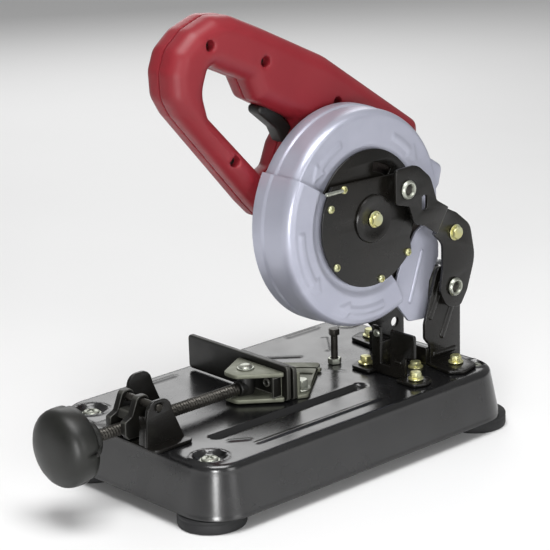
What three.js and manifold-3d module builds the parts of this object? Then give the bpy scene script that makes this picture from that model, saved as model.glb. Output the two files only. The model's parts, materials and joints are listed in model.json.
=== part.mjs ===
// Bench-top abrasive cut-off saw with a 150 mm wheel, a front vise and a D-handle motor head.
// Millimetres, +Z up. While the pieces are made, the datum is the middle of the base's top
// plate: +X is the machine's right, +Y its rear. The whole model is then lifted and shifted so
// that its origin is at the bottom centre of its bounding box.
import * as THREE from "three";
import { mergeVertices } from "three/addons/utils/BufferGeometryUtils.js";
import Module from "manifold-3d";

const wasm = await Module();
wasm.setup();

// ---------- driving dimensions ----------

const BASE = {
  width: 190, // top plate, across
  length: 312, // top plate, front to rear
  height: 40.5, // folded wall
  flare: 7, // how much wider the wall is at the bottom, each side
  sheet: 2.2,
  corner: 26,
};
const GROOVE = { x: 43, width: 12, depth: 6, front: -114, rear: 48 };
const FOOT = { frontX: 70, rearX: 74, frontY: -138, rearY: 143, radius: 26, bottom: -51.5, neck: 9 };
const DIMPLE = { front: 12, rear: 8.5, depth: 3.5 };
const GAP = 0.35; // clearance between touching pieces

const WHEEL = { x: 40, radius: 75, thickness: 2.5, bore: 22.2 };
const ARBOR = { y: 45.7, z: 139.2 };
const HINGE = { y: 136.8, z: 63.7 };
const MOTOR = { y: 119.5, z: 149.7, radius: 34, front: -16.4, rear: -88, brushes: -66.5 };

const GUARD = {
  radius: 84.5,
  sheet: 2.2,
  inner: 15.5, // X of the inner side
  face: 49.5, // X of the outer side
  from: -12, // the fixed guard covers these angles, measured from the rear
  to: 168,
};
const SWING = {
  radius: 88,
  sheet: 1.6,
  inner: 16,
  face: 54.8,
  from: 149.5, // the moving guard covers these angles at rest
  to: 295,
  hub: 54,
  relief: { angle: 12, x: 34 }, // the rim is cut back here to pass the jaw and the fence
};

const HANDLE = { middle: -10, half: 21, bevel: 7, bevelDepth: 12 };
const VISE = { z: 10.5, screw: 5, pinY: -39, knobY: -205, knobRadius: 30 };
const JAW = { left: -86, right: 32, face: -20.5, sheet: 4, bottom: 1.5, top: 30 };
const FENCE = { left: -33, right: 31, face: -17, sheet: 4, height: 27, pivotX: 22, pivotY: -1 };
const STOP = { x: -9, y: 66, radius: 3, top: 30, bottom: -24 };
const BRACKET = { near: 49, far: -15, sheet: 3, front: 109, rear: 151 };

// gear train: arbor gear, counter gear with its small pinion, motor pinion
const GEAR = {
  drive: { teeth: 24, module: 2.1 },
  small: { teeth: 12, module: 2.1 },
  large: { teeth: 28, module: 1.8 },
  pinion: { teeth: 12, module: 1.8 },
};
const CENTRE_PLAY = 0.35; // extra centre distance for backlash

// ---------- colours and finishes ----------

function finish(color, roughness, metalness) {
  return new THREE.MeshStandardMaterial({ color, roughness, metalness });
}
const gloss_black = () => finish(0x17181a, 0.28, 0.3);
const satin_black = () => finish(0x1d1c18, 0.5, 0.2);
const silver_paint = () => finish(0xbcbec8, 0.38, 0.45);
const red_plastic = () => finish(0x93323a, 0.5, 0.0);
const black_plastic = () => finish(0x121212, 0.55, 0.0);
const black_rubber = () => finish(0x0e0e0e, 0.8, 0.0);
const zinc = () => finish(0xb6b8ae, 0.4, 0.8);
const yellow_zinc = () => finish(0xb9b274, 0.35, 0.8);
const steel = () => finish(0x9a9c9e, 0.3, 0.9);
const abrasive = () => finish(0x3a3633, 0.9, 0.0);
const copper = () => finish(0x8a4b2a, 0.4, 0.6);

// ---------- solids ----------

function solid(geometry) {
  const bare = geometry.clone();
  bare.deleteAttribute("normal");
  bare.deleteAttribute("uv");
  const merged = mergeVertices(bare, 1e-4);
  const mesh = new wasm.Mesh({
    numProp: 3,
    vertProperties: new Float32Array(merged.attributes.position.array),
    triVerts: new Uint32Array(merged.index.array),
  });
  return new wasm.Manifold(mesh);
}

function geometryOf(made) {
  const mesh = made.getMesh();
  const geometry = new THREE.BufferGeometry();
  geometry.setAttribute("position", new THREE.BufferAttribute(mesh.vertProperties, 3));
  geometry.setIndex(new THREE.BufferAttribute(mesh.triVerts, 1));
  geometry.computeVertexNormals();
  return geometry;
}

function join(first, ...others) {
  return geometryOf(others.reduce((sum, piece) => sum.add(solid(piece)), solid(first)));
}

function cut(first, ...tools) {
  return geometryOf(tools.reduce((rest, tool) => rest.subtract(solid(tool)), solid(first)));
}

function common(first, second) {
  return geometryOf(solid(first).intersect(solid(second)));
}

// Extrusions of outlines: seen from the right (Y, Z), from the front (X, Z) or from above (X, Y).
const ALONG_X = new THREE.Matrix4().makeBasis(
  new THREE.Vector3(0, 1, 0),
  new THREE.Vector3(0, 0, 1),
  new THREE.Vector3(1, 0, 0),
);
const ALONG_Y = new THREE.Matrix4().makeBasis(
  new THREE.Vector3(1, 0, 0),
  new THREE.Vector3(0, 0, 1),
  new THREE.Vector3(0, -1, 0),
);

function extruded(shape, depth, curveSegments) {
  return new THREE.ExtrudeGeometry(shape, { depth, bevelEnabled: false, curveSegments });
}
function plateX(shape, x0, x1, curveSegments = 3) {
  return extruded(shape, x1 - x0, curveSegments).applyMatrix4(ALONG_X).translate(x0, 0, 0);
}
function plateY(shape, y0, y1, curveSegments = 3) {
  return extruded(shape, y1 - y0, curveSegments).applyMatrix4(ALONG_Y).translate(0, y1, 0);
}
function plateZ(shape, z0, z1, curveSegments = 3) {
  return extruded(shape, z1 - z0, curveSegments).translate(0, 0, z0);
}

function block(x0, x1, y0, y1, z0, z1) {
  return new THREE.BoxGeometry(x1 - x0, y1 - y0, z1 - z0).translate(
    (x0 + x1) / 2,
    (y0 + y1) / 2,
    (z0 + z1) / 2,
  );
}

// Turned pieces: a profile of [radius, distance along the axis] that starts and ends on the axis
// or closes on itself.
function turned(profile, segments = 16) {
  const points = profile.map(([r, t]) => new THREE.Vector2(r, t));
  const geometry = new THREE.LatheGeometry(points, segments);
  if (solid(geometry).volume() > 0) return geometry;
  return new THREE.LatheGeometry(points.reverse(), segments);
}
function turnedX(profile, y, z, segments) {
  return turned(profile, segments).rotateZ(-Math.PI / 2).translate(0, y, z);
}
function turnedY(profile, x, z, segments) {
  return turned(profile, segments).translate(x, 0, z);
}
function turnedZ(profile, x, y, segments) {
  return turned(profile, segments).rotateX(Math.PI / 2).translate(x, y, 0);
}
function rod(radius, t0, t1) {
  return [
    [0, t0],
    [radius, t0],
    [radius, t1],
    [0, t1],
  ];
}
function sleeve(inner, outer, t0, t1) {
  return [
    [inner, t0],
    [outer, t0],
    [outer, t1],
    [inner, t1],
    [inner, t0],
  ];
}

// ---------- outlines ----------

// A closed outline through corners [u, v, radius], each corner rounded by its radius.
function rounded(corners) {
  const shape = new THREE.Shape();
  const at = corners.map(([u, v]) => new THREE.Vector2(u, v));
  corners.forEach(([, , radius = 0], i) => {
    const here = at[i];
    const back = at[(i + at.length - 1) % at.length].clone().sub(here).normalize();
    const ahead = at[(i + 1) % at.length].clone().sub(here).normalize();
    const reach = radius / Math.tan(Math.acos(back.dot(ahead)) / 2);
    const start = here.clone().addScaledVector(back, reach);
    const end = here.clone().addScaledVector(ahead, reach);
    if (i === 0) shape.moveTo(start.x, start.y);
    else shape.lineTo(start.x, start.y);
    if (radius > 0) shape.quadraticCurveTo(here.x, here.y, end.x, end.y);
  });
  shape.closePath();
  return shape;
}
function rectangle(u0, u1, v0, v1, radius = 0) {
  return rounded([
    [u0, v0, radius],
    [u1, v0, radius],
    [u1, v1, radius],
    [u0, v1, radius],
  ]);
}
function circle(u, v, radius) {
  return new THREE.Shape().absarc(u, v, radius, 0, 2 * Math.PI);
}
const degrees = THREE.MathUtils.degToRad;

// Part of a ring, between two radii and two angles.
function sector(u, v, inner, outer, from, to) {
  const shape = new THREE.Shape();
  shape.absarc(u, v, outer, degrees(from), degrees(to), false);
  shape.absarc(u, v, inner, degrees(to), degrees(from), true);
  shape.closePath();
  return shape;
}

// The outline of a tight band round circles [u, v, radius] that are listed counterclockwise.
function band(circles, steps = 7) {
  const outline = [];
  circles.forEach(([u, v, r], i) => {
    const [pu, pv, pr] = circles[(i + circles.length - 1) % circles.length];
    const [nu, nv, nr] = circles[(i + 1) % circles.length];
    const into = Math.atan2(v - pv, u - pu) - Math.acos((pr - r) / Math.hypot(u - pu, v - pv));
    let out = Math.atan2(nv - v, nu - u) - Math.acos((r - nr) / Math.hypot(nu - u, nv - v));
    while (out < into) out += 2 * Math.PI;
    for (let k = 0; k <= steps; k++) {
      const angle = into + ((out - into) * k) / steps;
      outline.push(new THREE.Vector2(u + r * Math.cos(angle), v + r * Math.sin(angle)));
    }
  });
  return new THREE.Shape(outline);
}

function hexagon(u, v, acrossFlats, turn = 0) {
  const radius = acrossFlats / Math.sqrt(3);
  const points = [];
  for (let i = 0; i < 6; i++) {
    const angle = turn + (i * Math.PI) / 3;
    points.push(new THREE.Vector2(u + radius * Math.cos(angle), v + radius * Math.sin(angle)));
  }
  return new THREE.Shape(points);
}

// ---------- assembly ----------

const machine = new THREE.Group();

function add(name, geometry, material) {
  const mesh = new THREE.Mesh(geometry, material);
  mesh.name = name;
  machine.add(mesh);
}

// ---------- base ----------

// A block with rounded corners whose walls lean out towards the bottom.
function taperedTray(inset, z0, z1) {
  const wide = BASE.width / 2 + BASE.flare - inset;
  const long = BASE.length / 2 + BASE.flare - inset;
  const shape = rectangle(-wide, wide, -long, long, BASE.corner + BASE.flare - inset);
  const geometry = plateZ(shape, z0, z1, 4);
  const position = geometry.attributes.position;
  for (let i = 0; i < position.count; i++) {
    const rise = (position.getZ(i) + BASE.height) / BASE.height;
    position.setX(i, position.getX(i) * (1 - (rise * BASE.flare) / wide));
    position.setY(i, position.getY(i) * (1 - (rise * BASE.flare) / long));
  }
  return geometry;
}

const footPlaces = [
  ["front_left", -FOOT.frontX, FOOT.frontY, DIMPLE.front],
  ["front_right", FOOT.frontX, FOOT.frontY, DIMPLE.front],
  ["rear_left", -FOOT.rearX, FOOT.rearY, DIMPLE.rear],
  ["rear_right", FOOT.rearX, FOOT.rearY, DIMPLE.rear],
];
const bracketBolts = [
  ["front_left", 16, 77],
  ["front_right", 72, 77],
  ["rear_left", -30, 128],
  ["rear_right", 68, 128],
];

function baseTray() {
  const groove = [GROOVE.x - GROOVE.width / 2, GROOVE.x + GROOVE.width / 2];
  const below = BASE.sheet;
  let hollow = cut(
    taperedTray(BASE.sheet, -BASE.height - 1, -BASE.sheet),
    block(
      groove[0] - below,
      groove[1] + below,
      GROOVE.front - below,
      GROOVE.rear + below,
      -GROOVE.depth - below,
      0,
    ),
  );
  const wells = footPlaces.map(([, x, y, radius]) =>
    turnedZ(rod(radius + below, -DIMPLE.depth - below, 0), x, y, 16),
  );
  hollow = cut(hollow, ...wells);
  const dimples = footPlaces.map(([, x, y, radius]) =>
    turnedZ(rod(radius, -DIMPLE.depth, 1), x, y, 16),
  );
  const footHoles = footPlaces.map(([, x, y]) => turnedZ(rod(3, -10, 1), x, y, 8));
  const boltHoles = bracketBolts.map(([, x, y]) => turnedZ(rod(3.5, -5, 1), x, y, 8));
  return cut(
    taperedTray(0, -BASE.height, 0),
    hollow,
    block(groove[0], groove[1], GROOVE.front, GROOVE.rear, -GROOVE.depth, 1),
    ...dimples,
    ...footHoles,
    ...boltHoles,
    turnedZ(rod(STOP.radius + GAP, -5, 1), STOP.x, STOP.y, 10),
    turnedZ(rod(3.5, -5, 1), FENCE.pivotX, FENCE.pivotY, 10),
  );
}
add("base_tray", baseTray(), gloss_black());

const neckTop = -DIMPLE.depth - BASE.sheet - GAP;
for (const [place, x, y] of footPlaces) {
  const flangeTop = -BASE.height - GAP;
  const foot = [
    [0, FOOT.bottom],
    [FOOT.radius - 2.5, FOOT.bottom],
    [FOOT.radius, FOOT.bottom + 3],
    [FOOT.radius, flangeTop],
    [FOOT.neck, flangeTop],
    [FOOT.neck, neckTop],
    [2.8, neckTop],
    [2.8, neckTop - 16],
    [0, neckTop - 16],
  ];
  add("foot_" + place, turnedZ(foot, x, y, 24), black_rubber());
  const screw = [
    [0, neckTop - 15],
    [2.4, neckTop - 15],
    [2.4, -DIMPLE.depth + GAP],
    [7.5, -DIMPLE.depth + GAP],
    [7.5, -DIMPLE.depth + 1.8],
    [4, -DIMPLE.depth + 3.4],
    [0, -DIMPLE.depth + 3.4],
  ];
  add("foot_screw_" + place, turnedZ(screw, x, y, 12), zinc());
}

// ---------- vise ----------

// The two ears and the strips that join them, pressed from one sheet. The left ear stands
// further back than the right one, and the pin is held in the right ear alone.
function viseBracket() {
  const ear = rounded([
    [-164, GAP, 2],
    [-127, GAP, 2],
    [-138, 26, 6],
    [-141, 37, 9],
    [-160, 37, 9],
    [-163, 24, 4],
  ]);
  const stagger = 28;
  const top = GAP + 2.5;
  return cut(
    join(
      plateX(ear, 27, 30),
      plateX(ear, -30, -27).translate(0, stagger, 0),
      block(-40, 40, -164, -148, GAP, top),
      block(27, 40, -149, -127, GAP, top),
      block(-40, -27, -149, -127 + stagger, GAP, top),
    ),
    turnedX(rod(3.35, 20, 40), -151, 31, 12),
  );
}
add("vise_bracket", viseBracket(), gloss_black());
add("half_nut_pin", turnedX(rod(3, -14, 31), -151, 31, 12), steel());

// The half nut sits astride the screw and hangs on the pin, so it lifts off the thread.
function halfNut() {
  const side = rounded([
    [-169, 9, 1],
    [-166, 5, 1],
    [-149, 5, 1],
    [-144, 22, 3],
    [-146, 36, 4],
    [-156, 36, 4],
    [-162, 22, 3],
    [-169, 19, 2],
  ]);
  const clear = VISE.screw + 0.6;
  return cut(
    plateX(side, -12, 12),
    turnedX(rod(3.35, -20, 20), -151, 31, 12),
    turnedY(rod(clear, -180, -140), 0, VISE.z, 16),
    block(-clear, clear, -180, -140, 0, VISE.z),
    block(-clear, clear, -150, -140, 0, VISE.z + 9), // room for the screw as the nut tips up
  );
}
add("half_nut", halfNut(), satin_black());

function jawBoss() {
  const bossTop = 21.5;
  return cut(
    join(
      turnedZ(rod(6.5, 5.2, bossTop), 0, VISE.pinY, 16),
      block(-6, 6, VISE.pinY - 9, VISE.pinY, 5.2, 15.5),
    ),
    turnedZ(rod(3.35, 0, 30), 0, VISE.pinY, 12),
    turnedY(rod(2.8, -60, VISE.pinY - 5), 0, VISE.z, 12),
  );
}
add("jaw_boss", jawBoss(), black_plastic());

const jawPin = [
  [0, 1],
  [3, 1],
  [3, 26.2],
  [6, 26.2],
  [6, 27.4],
  [3, 28.8],
  [0, 28.8],
];
add("jaw_pin", turnedZ(jawPin, 0, VISE.pinY, 16), zinc());

const screwEnd = VISE.pinY - 9 - GAP;
function viseScrew() {
  const rear = [
    [0, VISE.knobY + 3.4],
    [VISE.screw, VISE.knobY + 3.4],
    [VISE.screw, screwEnd],
    [2.4, screwEnd],
    [2.4, screwEnd + 3.4],
    [0, screwEnd + 3.4],
  ];
  return turnedY(rear, 0, VISE.z, 16);
}
add("vise_screw", viseScrew(), steel());

// A lobed hand knob: the outline is a circle with shallow finger flutes.
function viseKnob() {
  const lobes = 7;
  const outline = [];
  for (let i = 0; i < lobes * 4; i++) {
    const angle = (i * 2 * Math.PI) / (lobes * 4);
    const r = VISE.knobRadius - 1.1 + 1.1 * Math.cos(lobes * angle);
    outline.push(new THREE.Vector2(r * Math.cos(angle), VISE.z + r * Math.sin(angle)));
  }
  const body = plateY(new THREE.Shape(outline), VISE.knobY - 22, VISE.knobY);
  const face = turnedY(
    [
      [0, VISE.knobY - 27],
      [16, VISE.knobY - 25.5],
      [24, VISE.knobY - 21.9],
      [0, VISE.knobY - 21.9],
    ],
    0,
    VISE.z,
    24,
  );
  const neck = turnedY(
    [
      [0, VISE.knobY - 0.1],
      [16, VISE.knobY - 0.1],
      [14.2, VISE.knobY + 2.5],
      [14.2, VISE.knobY + 13],
      [12, VISE.knobY + 13],
      [12, VISE.knobY + 3],
      [0, VISE.knobY + 3],
    ],
    0,
    VISE.z,
    20,
  );
  return join(body, face, neck);
}
add("vise_knob", viseKnob(), black_plastic());

add(
  "jaw_plate",
  plateY(
    rectangle(JAW.left, JAW.right, JAW.bottom, JAW.top, 4),
    JAW.face - JAW.sheet,
    JAW.face,
  ),
  satin_black(),
);

// The jaw's carrier: two triangular cheeks joined by the web that the plate is riveted to.
function jawCarrier() {
  const back = JAW.face - JAW.sheet - GAP;
  const cheek = () =>
    rounded([
      [-26, back, 2],
      [-7, VISE.pinY - 17, 5],
      [7, VISE.pinY - 17, 5],
      [34, back, 2],
    ]);
  return cut(
    join(
      plateZ(cheek(), 1.6, 4.8),
      plateZ(cheek(), 22, 25.2),
      block(-22, 26, back - 3, back, 1.6, 25.2),
    ),
    turnedZ(rod(3.35, 0, 40), 0, VISE.pinY, 12),
  );
}
add("jaw_carrier", jawCarrier(), zinc());

// ---------- fence ----------

const fenceBack = FENCE.face + FENCE.sheet;
add(
  "fence_plate",
  plateY(
    rectangle(FENCE.left, FENCE.right, GAP, FENCE.height, 3),
    FENCE.face,
    fenceBack,
  ),
  satin_black(),
);

function fenceFoot() {
  const plan = rounded([
    [-31, fenceBack + GAP, 1],
    [31, fenceBack + GAP, 1],
    [35, -5, 3],
    [-12, 54, 3],
    [-37, 30, 3],
    [-37, 2, 3],
  ]);
  const slots = [
    sector(FENCE.pivotX, FENCE.pivotY, 48, 52, 118, 144),
    sector(FENCE.pivotX, FENCE.pivotY, 34, 38, 122, 140),
  ];
  return cut(
    join(
      plateZ(plan, GAP, 3.4),
      block(-31, 31, fenceBack + GAP, fenceBack + 3, GAP, 22),
    ),
    ...slots.map((slot) => plateZ(slot, -1, 5, 2)),
    turnedZ(rod(3.35, -1, 6), FENCE.pivotX, FENCE.pivotY, 12),
  );
}
add("fence_foot", fenceFoot(), zinc());

// A hex flange bolt, head up, standing at (x, y) with its flange on height z.
function flangeBolt(x, y, z, shank, length, acrossFlats, headHeight) {
  const flange = turnedZ(
    [
      [0, z - length],
      [shank, z - length],
      [shank, z],
      [acrossFlats * 0.78, z],
      [acrossFlats * 0.78, z + 1.3],
      [acrossFlats * 0.45, z + 2.2],
      [0, z + 2.2],
    ],
    x,
    y,
    18,
  );
  return join(flange, plateZ(hexagon(x, y, acrossFlats), z + 1.5, z + headHeight));
}
add(
  "fence_pivot_bolt",
  flangeBolt(FENCE.pivotX, FENCE.pivotY, 3.4 + GAP, 3, 12, 10, 8),
  zinc(),
);

// ---------- depth stop ----------

function depthStopScrew() {
  const shank = turnedZ(rod(STOP.radius, STOP.bottom, STOP.top - 5), STOP.x, STOP.y, 14);
  return join(shank, plateZ(hexagon(STOP.x, STOP.y, 8), STOP.top - 5.1, STOP.top));
}
add("depth_stop_screw", depthStopScrew(), zinc());
add(
  "depth_stop_nut",
  cut(
    plateZ(hexagon(STOP.x, STOP.y, 10), GAP, 5),
    turnedZ(rod(STOP.radius + GAP, -1, 6), STOP.x, STOP.y, 14),
  ),
  zinc(),
);

// ---------- rear bracket ----------

// Two cheeks that carry the hinge pin, a low cross wall and the feet that are bolted down.
function pivotBracket() {
  const cheek = rounded([
    [115, GAP],
    [BRACKET.rear, GAP],
    [BRACKET.rear, 42, 4],
    [155, 62, 12],
    [146, 82, 12],
    [124, 81, 8],
    [BRACKET.front, 36, 6],
    [BRACKET.front, 24, 4],
    [115, 17, 3],
  ]);
  const near = plateX(cheek, BRACKET.near, BRACKET.near + BRACKET.sheet);
  const far = plateX(cheek, BRACKET.far, BRACKET.far + BRACKET.sheet);
  const wall = block(BRACKET.far, BRACKET.near + BRACKET.sheet, 111, 115, GAP, 15.5);
  const nearFoot = rounded([
    [BRACKET.near, 112],
    [78, 108, 3],
    [88, 118, 4],
    [82, 138, 4],
    [BRACKET.near, 145],
  ]);
  const farFoot = rounded([
    [BRACKET.far + BRACKET.sheet, 145],
    [-40, 141, 4],
    [-44, 128, 4],
    [-40, 115, 4],
    [BRACKET.far + BRACKET.sheet, 112],
  ]);
  const feet = [nearFoot, farFoot].map((plan) => plateZ(plan, GAP, GAP + BRACKET.sheet));
  const pinHole = turnedX(rod(5.35, -30, 60), HINGE.y, HINGE.z, 16);
  const farHole = turnedX(rod(4, -30, 0), 140, 17, 14);
  const boltHoles = bracketBolts.map(([, x, y]) => turnedZ(rod(3.5, -1, 6), x, y, 8));
  return cut(join(near, far, wall, ...feet), pinHole, farHole, ...boltHoles);
}
add("pivot_bracket", pivotBracket(), satin_black());

// The upright plate behind the cut, notched where the wheel passes.
function sparkPlate() {
  const front = rounded([
    [27, GAP],
    [64, GAP],
    [64, 20, 2],
    [74, 20, 2],
    [74, 40, 2],
    [27, 40, 2],
  ]);
  const notch = block(WHEEL.x - 3.5, WHEEL.x + 7.5, 60, 80, 9, 50);
  const web = rectangle(76, 100, GAP, 24, 2);
  const rightFoot = rounded([
    [60, 73],
    [60, 66, 2],
    [80, 66, 5],
    [85, 77, 4],
    [80, 88, 5],
    [60, 86, 2],
  ]);
  const leftFoot = rounded([
    [30, 73.2],
    [30, 88, 2],
    [10, 88, 4],
    [6, 77, 4],
    [10, 66, 4],
    [30, 66, 2],
  ]);
  const feet = [rightFoot, leftFoot].map((plan) => plateZ(plan, GAP, GAP + 2.6));
  const boltHoles = bracketBolts.map(([, x, y]) => turnedZ(rod(3.5, -1, 6), x, y, 8));
  return cut(
    join(plateY(front, 73.2, 76), plateX(web, 27, 29.6), ...feet),
    notch,
    ...boltHoles,
  );
}
add("spark_plate", sparkPlate(), satin_black());

for (const [place, x, y] of bracketBolts) {
  add("bracket_bolt_" + place, flangeBolt(x, y, 3.75, 3, 12, 8, 6), yellow_zinc());
}

add(
  "hinge_pin",
  turnedX(
    [
      [0, -18],
      [8, -18],
      [8, -15.4],
      [5, -15.4],
      [5, 62],
      [0, 62],
    ],
    HINGE.y,
    HINGE.z,
    18,
  ),
  steel(),
);

// The torsion spring that lifts the head, wound round the hinge boss.
function headSpring() {
  const turns = 4;
  const start = 20;
  const pitch = 5.6;
  const points = [];
  for (let i = 0; i <= turns * 10; i++) {
    const angle = (i / 10) * 2 * Math.PI;
    points.push(
      new THREE.Vector3(
        start + (pitch * i) / 10,
        HINGE.y + 17 * Math.cos(angle),
        HINGE.z + 17 * Math.sin(angle),
      ),
    );
  }
  const path = new THREE.CatmullRomCurve3(points);
  const wire = new THREE.Shape();
  for (let i = 0; i < 5; i++) {
    const angle = (i * 2 * Math.PI) / 5;
    const corner = [1.5 * Math.cos(angle), 1.5 * Math.sin(angle)];
    if (i === 0) wire.moveTo(...corner);
    else wire.lineTo(...corner);
  }
  wire.closePath();
  return new THREE.ExtrudeGeometry(wire, { steps: turns * 10, extrudePath: path });
}
add("head_spring", headSpring(), steel());

// ---------- gear case ----------

function pitchRadius(gear) {
  return (gear.teeth * gear.module) / 2;
}
const firstReach = pitchRadius(GEAR.drive) + pitchRadius(GEAR.small) + CENTRE_PLAY;
const towardsMotor = new THREE.Vector2(MOTOR.y - ARBOR.y, MOTOR.z - ARBOR.z).normalize();
const COUNTER = {
  y: ARBOR.y + firstReach * towardsMotor.x,
  z: ARBOR.z + firstReach * towardsMotor.y,
};
const secondReach = pitchRadius(GEAR.large) + pitchRadius(GEAR.pinion) + CENTRE_PLAY;
const SHAFT = {
  y: COUNTER.y + secondReach * towardsMotor.x,
  z: COUNTER.z + secondReach * towardsMotor.y,
};

function gearCaseOutline(grow) {
  return band([
    [ARBOR.y, ARBOR.z, 31 + grow],
    [SHAFT.y, SHAFT.z, 34 + grow],
    [COUNTER.y, COUNTER.z, 32.8 + grow],
  ]);
}

const CASE = { front: 14.2, wall: 3.2, split: -12.7, back: -16 };

function gearCase() {
  const body = plateX(gearCaseOutline(0), CASE.split, CASE.front);
  const pocket = plateX(gearCaseOutline(-CASE.wall), CASE.split - 1, CASE.front - 8);
  const arm = rounded([
    [93, 112],
    [124, 56, 8],
    [148, 52, 6],
    [150, 76, 6],
    [132, 130],
    [100, 134],
  ]);
  const armPlate = plateX(arm, -11.5, CASE.front);
  const boss = turnedX(rod(13, -11.5, BRACKET.near - GAP), HINGE.y, HINGE.z, 24);
  // the lug that comes down on the depth stop
  const lug = rounded([
    [50, 112],
    [50, 85, 2],
    [68, 73.4, 2],
    [76, 113],
  ]);
  const lugBlock = plateX(lug, CASE.split + 0.7, CASE.front - 2);
  return cut(
    join(body, armPlate, boss, lugBlock),
    pocket,
    turnedX(rod(5.35, -30, 70), HINGE.y, HINGE.z, 16),
    turnedX(rod(16.3, CASE.front - 8.5, CASE.front + 1), ARBOR.y, ARBOR.z, 20),
  );
}
add("gear_case", gearCase(), satin_black());

function gearCaseCover() {
  return cut(
    plateX(gearCaseOutline(0), CASE.back, CASE.split - GAP),
    turnedX(rod(8, -20, 0), SHAFT.y, SHAFT.z, 16),
  );
}
add("gear_case_cover", gearCaseCover(), satin_black());

// ---------- gears and shafts ----------

// Spur teeth as trapezoids, slim enough to run with backlash. A tooth points along `turn`.
function gearOutline(y, z, gear, turn) {
  const pitch = pitchRadius(gear);
  const step = (2 * Math.PI) / gear.teeth;
  const points = [];
  for (let i = 0; i < gear.teeth; i++) {
    const middle = turn + i * step;
    for (const [radius, share] of [
      [pitch - gear.module, -0.3],
      [pitch + 0.75 * gear.module, -0.12],
      [pitch + 0.75 * gear.module, 0.12],
      [pitch - gear.module, 0.3],
    ]) {
      const angle = middle + share * step;
      points.push(new THREE.Vector2(y + radius * Math.cos(angle), z + radius * Math.sin(angle)));
    }
  }
  return new THREE.Shape(points);
}
const lineAngle = Math.atan2(towardsMotor.y, towardsMotor.x);
const halfTooth = (gear) => Math.PI / gear.teeth;

add(
  "drive_gear",
  cut(
    plateX(gearOutline(ARBOR.y, ARBOR.z, GEAR.drive, lineAngle), -4, 4),
    turnedX(rod(6 + GAP, -10, 10), ARBOR.y, ARBOR.z, 16),
  ),
  steel(),
);

function counterGear() {
  const facing = lineAngle + Math.PI;
  const small = gearOutline(COUNTER.y, COUNTER.z, GEAR.small, facing + halfTooth(GEAR.small));
  const large = gearOutline(COUNTER.y, COUNTER.z, GEAR.large, lineAngle);
  return join(
    plateX(small, -4.5, 4.2),
    plateX(large, -11, -4.4),
    turnedX(rod(4, -12.4, 5.6), COUNTER.y, COUNTER.z, 14),
  );
}
add("counter_gear", counterGear(), steel());

function armature() {
  const facing = lineAngle + Math.PI;
  const pinion = gearOutline(SHAFT.y, SHAFT.z, GEAR.pinion, facing + halfTooth(GEAR.pinion));
  const shaft = turnedX(
    [
      [0, -84],
      [4, -84],
      [4, -71],
      [11, -71],
      [11, -60],
      [5, -60],
      [5, -57],
      [20, -57],
      [20, -30],
      [4, -30],
      [4, 5.6],
      [0, 5.6],
    ],
    SHAFT.y,
    SHAFT.z,
    20,
  );
  return join(shaft, plateX(pinion, -11.5, -4.5));
}
add("armature", armature(), copper());

function coolingFan() {
  const outline = [];
  const blades = 7;
  for (let i = 0; i < blades; i++) {
    const angle = (i * 2 * Math.PI) / blades;
    for (const [radius, lead] of [
      [11, 0],
      [29, 0.22],
      [29, 0.36],
      [11, 0.28],
    ]) {
      outline.push(
        new THREE.Vector2(
          SHAFT.y + radius * Math.cos(angle + lead),
          SHAFT.z + radius * Math.sin(angle + lead),
        ),
      );
    }
  }
  return cut(
    join(
      plateX(new THREE.Shape(outline), -26, -20),
      turnedX(rod(29, -20.1, -18.5), SHAFT.y, SHAFT.z, 24),
      turnedX(rod(12, -27, -18.5), SHAFT.y, SHAFT.z, 20),
    ),
    turnedX(rod(4 + GAP, -40, 0), SHAFT.y, SHAFT.z, 14),
  );
}
add("cooling_fan", coolingFan(), black_plastic());

add(
  "stator",
  turnedX(sleeve(20.8, 30.8, -56, -31), SHAFT.y, SHAFT.z, 28),
  copper(),
);

// A cup that is open towards the gear case, with air slots in its closed end.
function motorHousing() {
  const { radius, front, rear } = MOTOR;
  const wall = 2.8;
  const shell = turnedX(
    [
      [0, rear],
      [radius - 6, rear],
      [radius, rear + 6],
      [radius, front],
      [radius - wall, front],
      [radius - wall, rear + wall],
      [0, rear + wall],
    ],
    SHAFT.y,
    SHAFT.z,
    24,
  );
  const brushPort = turnedZ(rod(5.5, 100, 200), MOTOR.brushes, SHAFT.y, 12);
  const slots = [];
  for (let i = 0; i < 8; i++) {
    const slot = rectangle(12, 24, -1.6, 1.6);
    slots.push(
      plateX(slot, rear - 1, rear + wall + 1, 2)
        .rotateX((i * Math.PI) / 4)
        .translate(0, SHAFT.y, SHAFT.z),
    );
  }
  return cut(shell, brushPort, ...slots);
}
add("motor_housing", motorHousing(), red_plastic());

for (const [name, side] of [
  ["upper", 1],
  ["lower", -1],
]) {
  const near = side * 31;
  const far = side * 35.2;
  add(
    "brush_cap_" + name,
    turnedZ(
      rod(5, SHAFT.z + Math.min(near, far), SHAFT.z + Math.max(near, far)),
      MOTOR.brushes,
      SHAFT.y,
      14,
    ),
    black_plastic(),
  );
}

// ---------- spindle and wheel ----------

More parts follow.
